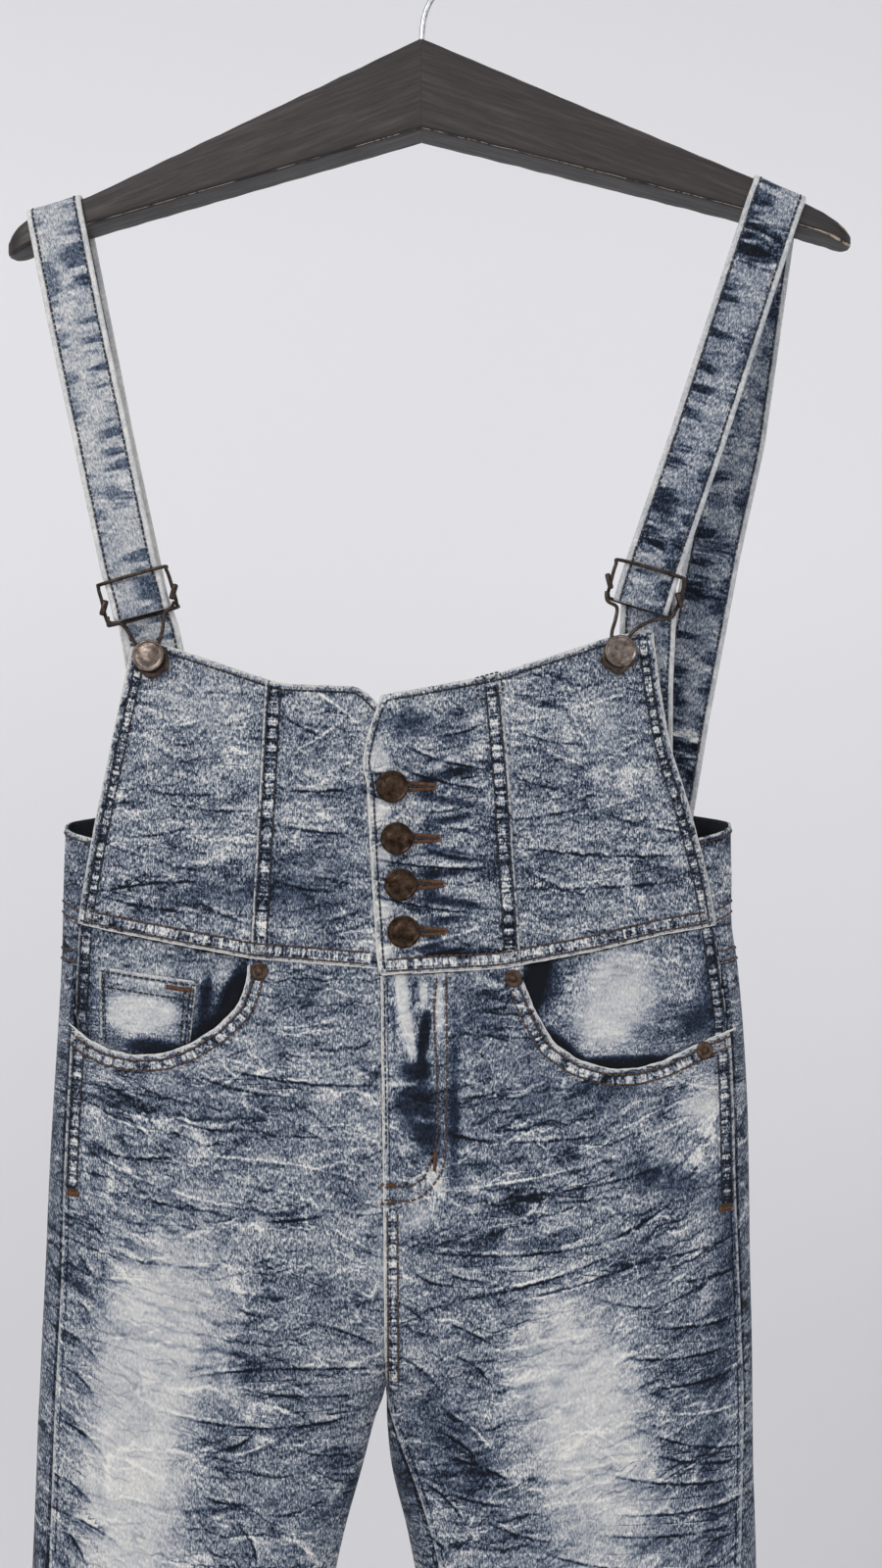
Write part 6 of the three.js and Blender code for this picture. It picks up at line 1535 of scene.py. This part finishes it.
# ---------------------------------------------------------------- wooden hanger
def arm(name, node, rows, side):
    r = np.asarray(rows, float)
    run = r[:, 0]
    xs = np.concatenate([np.linspace(run[0], run[4], 34), run[4] + (run[-1] - run[4]) * (1 - (1 - np.linspace(0, 1, 27)[1:]) ** 1.6)])
    top, bot, thick = (Track(run, r[:, k]) for k in (1, 2, 3))
    V, gu, gv, gw, worn, under = [], [], [], [], [], []
    k = 6
    for x in xs:
        t, b, w = float(top(x)), float(bot(x)), float(thick(x))
        hy, hz, cz = w / 2, (t - b) / 2, (t + b) / 2
        c = min(2.4, hz * 0.6, hy * 0.6)
        path = []
        for qx, qz, a0 in ((-1, 1, 180), (1, 1, 90), (1, -1, 0), (-1, -1, -90)):
            for i in range(k):
                a = math.radians(a0 - 90 * i / (k - 1))
                path.append((qx * (hy - c) + c * math.cos(a), qz * (hz - c) + c * math.sin(a), i, qx, qz))
        full = []
        for i, p in enumerate(path):
            full.append(p)
            if (i + 1) % k == 0:
                q = path[(i + 1) % len(path)]
                steps = 5 if (i // k) % 2 == 0 else 9
                for s in range(1, steps):
                    w0 = s / steps
                    full.append((p[0] * (1 - w0) + q[0] * w0, p[1] * (1 - w0) + q[1] * w0, -1, 0, 0))
        for y, z, i, qx, qz in full:
            ripple = 0.12 * math.sin(x * 0.35 + y * 0.2) + 0.1 * math.sin(x * 0.9 + z * 0.4)
            V.append((x, y, cz + z + (ripple if i >= 0 else 0)))
            slope = side * (x - run[0])
            gu.append(slope * MM)
            gv.append((z if abs(y) > hy - 0.5 else y + 60) * MM)
            gw.append((y if abs(y) > hy - 0.5 else z) * MM * 0.05 + side * 0.3)
            # the underside is marked for painted shade in the wood's colour
            under.append(1.0 if (z < -hz + 0.6 or (i >= 0 and qz < 0 and z < -hz + 1.6)) else 0.0)
            near_edge = 1.0 if i == 2 else (0.3 if i in (1, 3) else 0.0)
            edge = near_edge * ((0.8 if qz < 0 and qx < 0 else 0.35) if i >= 0 else 0)
            tip = smooth((abs(x) - 196) / 22)
            worn.append(min(1, edge + 0.5 * tip * (1 if i >= 0 else 0.3)))
        m = len(full)
    F = []
    for a in range(len(xs) - 1):
        for s in range(m):
            F.append((a * m + s, a * m + (s + 1) % m, (a + 1) * m + (s + 1) % m, (a + 1) * m + s))
    F.append(tuple(range(m))[::-1])
    F.append(tuple((len(xs) - 1) * m + s for s in range(m)))
    ob = mesh_object(name, V, F, None, {"grain_u": gu, "grain_v": gv, "grain_w": gw, "worn": worn, "under": under})
    bm_normals(ob, xs[0])
    finish_piece(ob, [node], WOOD)


arm("hanger_arm_left_wood", "hanger_arm_left", [[-0.04, *ARM_LEFT[0][1:]]] + ARM_LEFT[1:], -1)
arm("hanger_arm_right_wood", "hanger_arm_right", [[0.04, *ARM_RIGHT[0][1:]]] + ARM_RIGHT[1:], 1)
h = Heap()
line = [tuple(q) for q in catmull([(x, 0, z) for x, z in HOOK], 4)]
line += [(HOOK_R * math.cos(a), 0, -HOOK_R + WIRE_R + HOOK_R * math.sin(a)) for a in np.radians(np.linspace(-8, 200, 60))]
h.put(*rod(line, WIRE_R, 20))
finish_piece(h.make("hanger_hook_wire"), ["hanger_hook"], STEEL)

# ---------------------------------------------------------------- stitches
RINGS = [(-0.5, 0, -0.3), (-0.43, 0.85, 0.0), (0, 1, 0.1), (0.43, 0.85, 0.0), (0.5, 0, -0.3)]


def capsule(sides=5):
    V, F = [(RINGS[0][0], 0, 0, RINGS[0][2])], []
    for a, r, c in RINGS[1:-1]:
        for s in range(sides):
            t = 2 * math.pi * s / sides
            V.append((a, r * math.cos(t), r * math.sin(t), c))
    V.append((RINGS[-1][0], 0, 0, RINGS[-1][2]))
    last = len(V) - 1
    for s in range(sides):
        F.append((0, 1 + (s + 1) % sides, 1 + s))
        F.append((last, last - sides + s, last - sides + (s + 1) % sides))
        for k in range(len(RINGS) - 3):
            a0, b0 = 1 + k * sides + s, 1 + k * sides + (s + 1) % sides
            F.append((a0, b0, b0 + sides, a0 + sides))
    return np.asarray(V, float), F


CAP_V, CAP_F = capsule()


def sew(heap, P, N, length=2.6, gap=0.5, r=0.5, lift=0.24):
    """Stitches along a dense line of points with normals."""
    P, N = np.asarray(P, float), np.asarray(N, float)
    run = np.concatenate([[0], np.cumsum(np.linalg.norm(np.diff(P, axis=0), axis=1))])
    pitch = length + gap
    k = int(run[-1] / pitch)
    if k < 1:
        return
    s = (np.arange(k) + 0.5) * (run[-1] / k)
    c = np.stack([np.interp(s, run, P[:, i]) for i in range(3)], -1)
    a = np.stack([np.interp(s - length / 2, run, P[:, i]) for i in range(3)], -1)
    b = np.stack([np.interp(s + length / 2, run, P[:, i]) for i in range(3)], -1)
    n = np.stack([np.interp(s, run, N[:, i]) for i in range(3)], -1)
    place(heap, c, b - a, n, length, r, lift)


def place(heap, c, t, n, length, r, lift=0.05):
    t = t / (np.linalg.norm(t, axis=1, keepdims=True) + 1e-9)
    n = n - t * np.sum(n * t, 1, keepdims=True)
    n /= np.linalg.norm(n, axis=1, keepdims=True) + 1e-9
    w = np.cross(t, n)
    A = CAP_V[None, :, 0:1] * length
    W = CAP_V[None, :, 1:2] * r
    H = CAP_V[None, :, 2:3] * r * 0.8 + CAP_V[None, :, 3:4] + lift
    V = c[:, None, :] + A * t[:, None, :] + W * w[:, None, :] + H * n[:, None, :]
    heap.tiles(V, CAP_F)


def rise_at(x, z, rims, amp=0.5):
    d = np.full(np.shape(x), 99.0)
    for r in rims:
        d = np.minimum(d, near(LINES[r], x, z)[0])
    return amp * np.exp(-((d / 2.2) ** 2))


def front_row(heap, line, rims=(), lap=False, amp=0.5, **kw):
    p = dense(line, 1.0)
    x, z = p[:, 0], p[:, 1]
    P, n = front_frame(x, z, rise_at(x, z, rims, amp), lap)
    sew(heap, P, n, **kw)


def cut_line(line, z0, z1):
    return line[(line[:, 1] <= z0) & (line[:, 1] >= z1)]


dark, brown, tan = Heap(), Heap(), Heap()
L = LINES
for name, offs, rims, lap in (("arm_left", (3.3, 7.5), ["arm_left"], False), ("arm_right", (-3.3, -7.5), ["arm_right"], False), ("princess_left", (1.8, 8.0), ["princess_left"], False), ("princess_right", (-1.8, -8.0), ["princess_right"], True)):
    for d in offs:
        front_row(dark, offset(cut_line(L[name], -386 if "arm" in name else -401, -537), d), rims, lap)
front_row(dark, offset(cut_line(L["placket"], -410, -547), 2.7), ["placket"], True)
front_row(dark, offset(L["top_left"][3:], -3.0), ["top_left"], r=0.62)
front_row(dark, offset(L["top_right"][3:-3], -3.0), ["top_right"], True, r=0.62)
sq = [(27.8, -397.6), (40.6, -394.0), (42.4, -404.6), (30.0, -408.7), (27.8, -397.6)]
front_row(dark, sq, [], True, length=2.0)
for d in (1.6, 7.4):
    front_row(brown, offset(L["waist_left"][3:-3], d), ["waist_left"], length=2.9, r=0.58)
    front_row(brown, offset(L["waist_right"][2:-3], d), ["waist_right"], True, length=2.9, r=0.58)
for d in (2.5, 7.6):
    front_row(brown, offset(L["pocket_left"][2:-4], d), ["pocket_left"], amp=0.45, length=2.9, r=0.58)
    front_row(brown, offset(L["pocket_right"][2:-4], -d), ["pocket_right"], amp=0.45, length=2.9, r=0.58)
for d in (2.0, 7.4):
    front_row(dark, offset(cut_line(L["side_left"], -584, -659), d), ["side_left"], amp=0.45)
    front_row(dark, offset(cut_line(L["side_right"], -590, -668), -d), ["side_right"], amp=0.45)
for d in (1.6, 6.6):
    front_row(brown, offset(cut_line(L["centre"], -668, -762), d), ["centre"], amp=0.45, length=2.9, r=0.58)
front_row(brown, [(12.8, -550.4), (13.3, -575), (13.3, -601), (12.3, -642), (10, -650), (5.3, -656.8), (0.6, -661), (-4.6, -663.2), (-18.8, -662.7)], length=2.9, r=0.58)
front_row(brown, [(8.3, -550.4), (6.8, -566.8), (7.3, -582), (8.3, -596), (8.8, -624), (7.3, -638.4), (1.8, -651.3), (-4.6, -655.8), (-18.6, -656.3)], length=2.9, r=0.58)
front_row(dark, cut_line(offset(L["centre"], 1.4), -552, -640), [], length=2.6)


def bar(heap, a, b, wide=1.9, pitch=0.42, depth=0.0, lap=False):
    """Dense threads across a short line: a bar tack."""
    a, b = np.asarray(a, float), np.asarray(b, float)
    n = max(3, int(np.linalg.norm(b - a) / pitch))
    q = a + (b - a) * np.linspace(0, 1, n)[:, None]
    P, N = front_frame(q[:, 0], q[:, 1], depth, lap)
    t = P[-1] - P[0]
    w = np.cross(N, t[None, :])
    w = w + 0.18 * np.linalg.norm(w, axis=1, keepdims=True) * (t / np.linalg.norm(t))
    place(heap, P, w, N, wide, 0.26, 0.14)


bar(tan, (-20.0, -654.9), (-12.6, -654.9))
bar(tan, (7.4, -637), (7.0, -648))
bar(tan, (-130.0, -555.4), (-117.2, -557.4), 2.6, depth=-1.5)
bar(tan, (-182.0, -662.0), (-174.6, -662.0), 3.0)
bar(brown, (-181.6, -660.0), (-175.4, -660.0), 1.6)
bar(tan, (152.8, -670.0), (160.0, -670.0), 3.0)
bar(brown, (153.4, -668.0), (159.6, -668.0), 1.6)
bar(brown, (-20.0, -664.6), (-13, -664.6))
for k, (x, z) in enumerate(FRONT_BUTTONS):
    x1 = (6.7, 9.3, 11.3, 12.4)[k]
    x0 = x + 1.0
    for sgn in (-1, 1):
        bar(tan, (x0, z + sgn * 2.5), (x1, z + sgn * 0.9), 2.1, 0.48, 0.1, True)
    bar(tan, (x1 + 0.5, z + 1.1), (x1 + 0.7, z - 1.1), 1.7, 0.48, 0.1, True)
    # the open slit of each buttonhole: short dark threads laid along it, painted shade in the cut
    q = np.linspace(x0, x1 - 0.3, 8)
    P, N = front_frame(q, np.full(8, z), 0.05, True)
    for i in range(7):
        place(dark, (P[i : i + 1] + P[i + 1 : i + 2]) / 2, P[i + 1 : i + 2] - P[i : i + 1], N[i : i + 1], 3.2, 0.7, 0.1)
# coin pocket and facings, set back behind the front
def deep_row(heap, line, depth, **kw):
    p = dense(line, 1.0)
    base = front_at(p[:, 0], p[:, 1], False)
    _, n = front_frame(p[:, 0], p[:, 1])
    sew(heap, base + n * depth, n, **kw)


for d in (2.0, 7.4):
    deep_row(dark, offset(cut_line(L["side_left"], -528, -572), d), -0.35, length=2.6)
    deep_row(dark, offset(cut_line(L["side_right"], -529, -574), -d), -0.35, length=2.6)
coin_d = -(CLOTH + GAP) + 0.05
deep_row(dark, [(-165.6, -547.8), (-114.6, -554.8)], coin_d, length=2.4)
deep_row(dark, [(-165.3, -555.6), (-115.4, -562.4)], coin_d, length=2.4)
deep_row(dark, [(-115.9, -556.0), (-118.4, -584)], coin_d, length=2.4)
deep_row(dark, [(-120.6, -556.8), (-122.6, -587)], coin_d, length=2.4)
deep_row(dark, [(-164.2, -549.4), (-163.0, -580)], coin_d, length=2.4)


def back_row(heap, rows, shift, lap_in=2.0, **kw):
    for side in (-1, 1):
        moved = [[s, z + shift] for s, z in rows]
        a, z, want = band_half(side, moved, moved, 110, 1, True)
        P, n = ring_frame(side, a, z)
        sew(heap, P[0], n[0], **kw)


back_row(brown, BACK_TOP, -2.6)
for d in (1.8, 7.2):
    back_row(brown, BACK_WAIST, d)
    back_row(brown, YOKE, d - 0.2)
for side in (-1, 1):
    for d in (1.8, 7.0):
        zn = np.linspace(-582, -760, 90)
        a, _ = ring_rows(side, seam_angle(side, zn), inseam_angle(side, zn) - 2 * math.pi, zn, 2, GAP / 2, d)
        if side < 0:
            P, n = ring_frame(side, a[:, 1:], zn[:, None])
            sew(brown, P[:, 0], n[:, 0], length=2.9, r=0.58)
    for zrow, heap in ((-1487, brown), (-1489.2, brown)):
        zz = np.full(1, float(zrow))
        for a0, a1 in ((seam_angle(side, zz), inseam_angle(side, zz)), (seam_angle(side, zz), inseam_angle(side, zz) - 2 * math.pi)):
            a, _ = ring_rows(side, a0, a1, zz, 100)
            P, n = ring_frame(side, a, zz[:, None] * np.ones_like(a))
            sew(heap, P[0], n[0], length=2.9, r=0.58)
strap_dark = Heap()
for P, n in strap_rows:
    sew(strap_dark, P, n, length=2.5, gap=0.5, r=0.48, lift=0.14)
for name, heap, mat in (("stitches_dark_and_slit_shade", dark, THREAD_DARK), ("stitches_brown", brown, THREAD_BROWN), ("stitches_tan", tan, THREAD_TAN), ("stitches_straps", strap_dark, THREAD_DARK)):
    finish_piece(heap.make(name), [], mat)

# ---------------------------------------------------------------- rolled, worn edges
def fold_line(heap, line, rims, lap=False, amp=0.5, r=0.55, seed=0.0, sink=0.2):
    p = dense(line, 1.3)
    x, z = p[:, 0], p[:, 1]
    P, n = front_frame(x, z, rise_at(x, z, rims, amp), lap)
    s = np.arange(len(p)) * 1.3
    rad = r * (1 + 0.16 * np.sin(s * 0.55 + seed) + 0.12 * np.sin(s * 1.31 + seed * 2) + 0.1 * np.sin(s * 0.17 + seed))
    V, F = rod(P - n * (rad[:, None] - 0.05 + sink), rad, 8)
    heap.put(V, F)


bib_folds, leg_folds = Heap(), Heap()
for k, (name, lap) in enumerate((("arm_left", False), ("arm_right", False), ("top_left", False), ("top_right", True), ("placket", True), ("waist_left", False), ("waist_right", True))):
    fold_line(bib_folds, L[name], [name], lap, seed=k)
for k, name in enumerate(("pocket_left", "pocket_right")):
    fold_line(leg_folds, L[name], [name], False, 0.45, 0.6, seed=k + 9)
fold_line(leg_folds, L["centre"], ["centre"], False, 0.4, 0.6, seed=14)
FB = finish_piece(bib_folds.make("worn_folds_bib"), [], FOLD)
FL = finish_piece(leg_folds.make("worn_folds_pockets"), [], FOLD)

# ---------------------------------------------------------------- stage, light and camera
def stage_plane(name, corners, mat):
    me = bpy.data.meshes.new(name)
    me.from_pydata(corners, [], [(0, 1, 2, 3)])
    ob = bpy.data.objects.new(name, me)
    ob.data.materials.append(mat)
    bpy.context.scene.collection.objects.link(ob)
    return ob


def wall_mat(name, c):
    """Pale paint, a little greyer towards the top and the floor as painted shade of the light's falloff."""
    t = Tree(name)
    z = t.span(t.parts(t.coord("Object"))[2], -1.3, 0.4, 0.0, 1.0, False)
    t.set(Base_Color=t.ramp(z, [(at, tuple(min(1, q * k) for q in c)) for at, k in ((0.0, 0.95), (0.35, 1.02), (0.62, 1.05), (0.80, 1.0), (0.95, 0.91))]), Roughness=0.95)
    t.b.inputs["Specular IOR Level"].default_value = 0.1
    return t.m


FLOOR_Z = -1.56
PALE_WALL = wall_mat("studio_pale", srgb(226, 226, 229))
me = bpy.data.meshes.new("studio_sweep")
prof = [(-3.0, FLOOR_Z), (0.35, FLOOR_Z)] + [(0.35 + 0.55 * math.sin(a), FLOOR_Z + 0.55 * (1 - math.cos(a))) for a in np.linspace(0.1, math.pi / 2, 14)] + [(0.9, 1.6)]
vs, fs = [], []
for y, z in prof:
    vs += [(-3.2, y, z), (3.2, y, z)]
for k in range(len(prof) - 1):
    fs.append((2 * k, 2 * k + 1, 2 * k + 3, 2 * k + 2))
me.from_pydata(vs, [], fs)
smooth_faces(me)
sweep = bpy.data.objects.new("studio_sweep", me)
me.materials.append(PALE_WALL)
bpy.context.scene.collection.objects.link(sweep)


def area_light(name, at, look, size, power, colour=(1, 1, 1)):
    d = bpy.data.lights.new(name, "AREA")
    d.shape = "RECTANGLE"
    d.size, d.size_y = size
    d.energy = power
    d.color = colour
    o = bpy.data.objects.new(name, d)
    o.location = at
    o.rotation_euler = (Vector(look) - Vector(at)).to_track_quat("-Z", "Y").to_euler()
    bpy.context.scene.collection.objects.link(o)


area_light("key_top_left", (-1.3, -1.9, 0.75), (0, 0, -0.6), (1.2, 1.2), 30, (1.0, 0.99, 0.975))
area_light("fill_front", (1.1, -2.2, -0.3), (0, 0, -0.65), (2.0, 2.2), 16, (0.97, 0.98, 1.0))
area_light("wall_wash", (0.0, -0.2, 1.5), (0, 0.9, -0.6), (3.0, 0.8), 6.5, (1, 1, 1))
world = bpy.data.worlds.new("studio")
world.use_nodes = True
world.node_tree.nodes["Background"].inputs[0].default_value = (0.84, 0.835, 0.85, 1)
world.node_tree.nodes["Background"].inputs[1].default_value = 0.66
sc = bpy.context.scene
sc.world = world
cam = bpy.data.cameras.new("photo_camera")
cam.sensor_fit = "AUTO"
cam.sensor_width = 36.0
cam.lens = 36.0 * VIEW_D / VIEW_H
cam.clip_start, cam.clip_end = 0.05, 20
co = bpy.data.objects.new("photo_camera", cam)
co.location = (VIEW_X * MM, -VIEW_D * MM, VIEW_Z * MM)
co.rotation_euler = (math.pi / 2, 0, 0)
sc.collection.objects.link(co)
sc.camera = co
sc.view_settings.view_transform = "Standard"
sc.view_settings.look = "None"
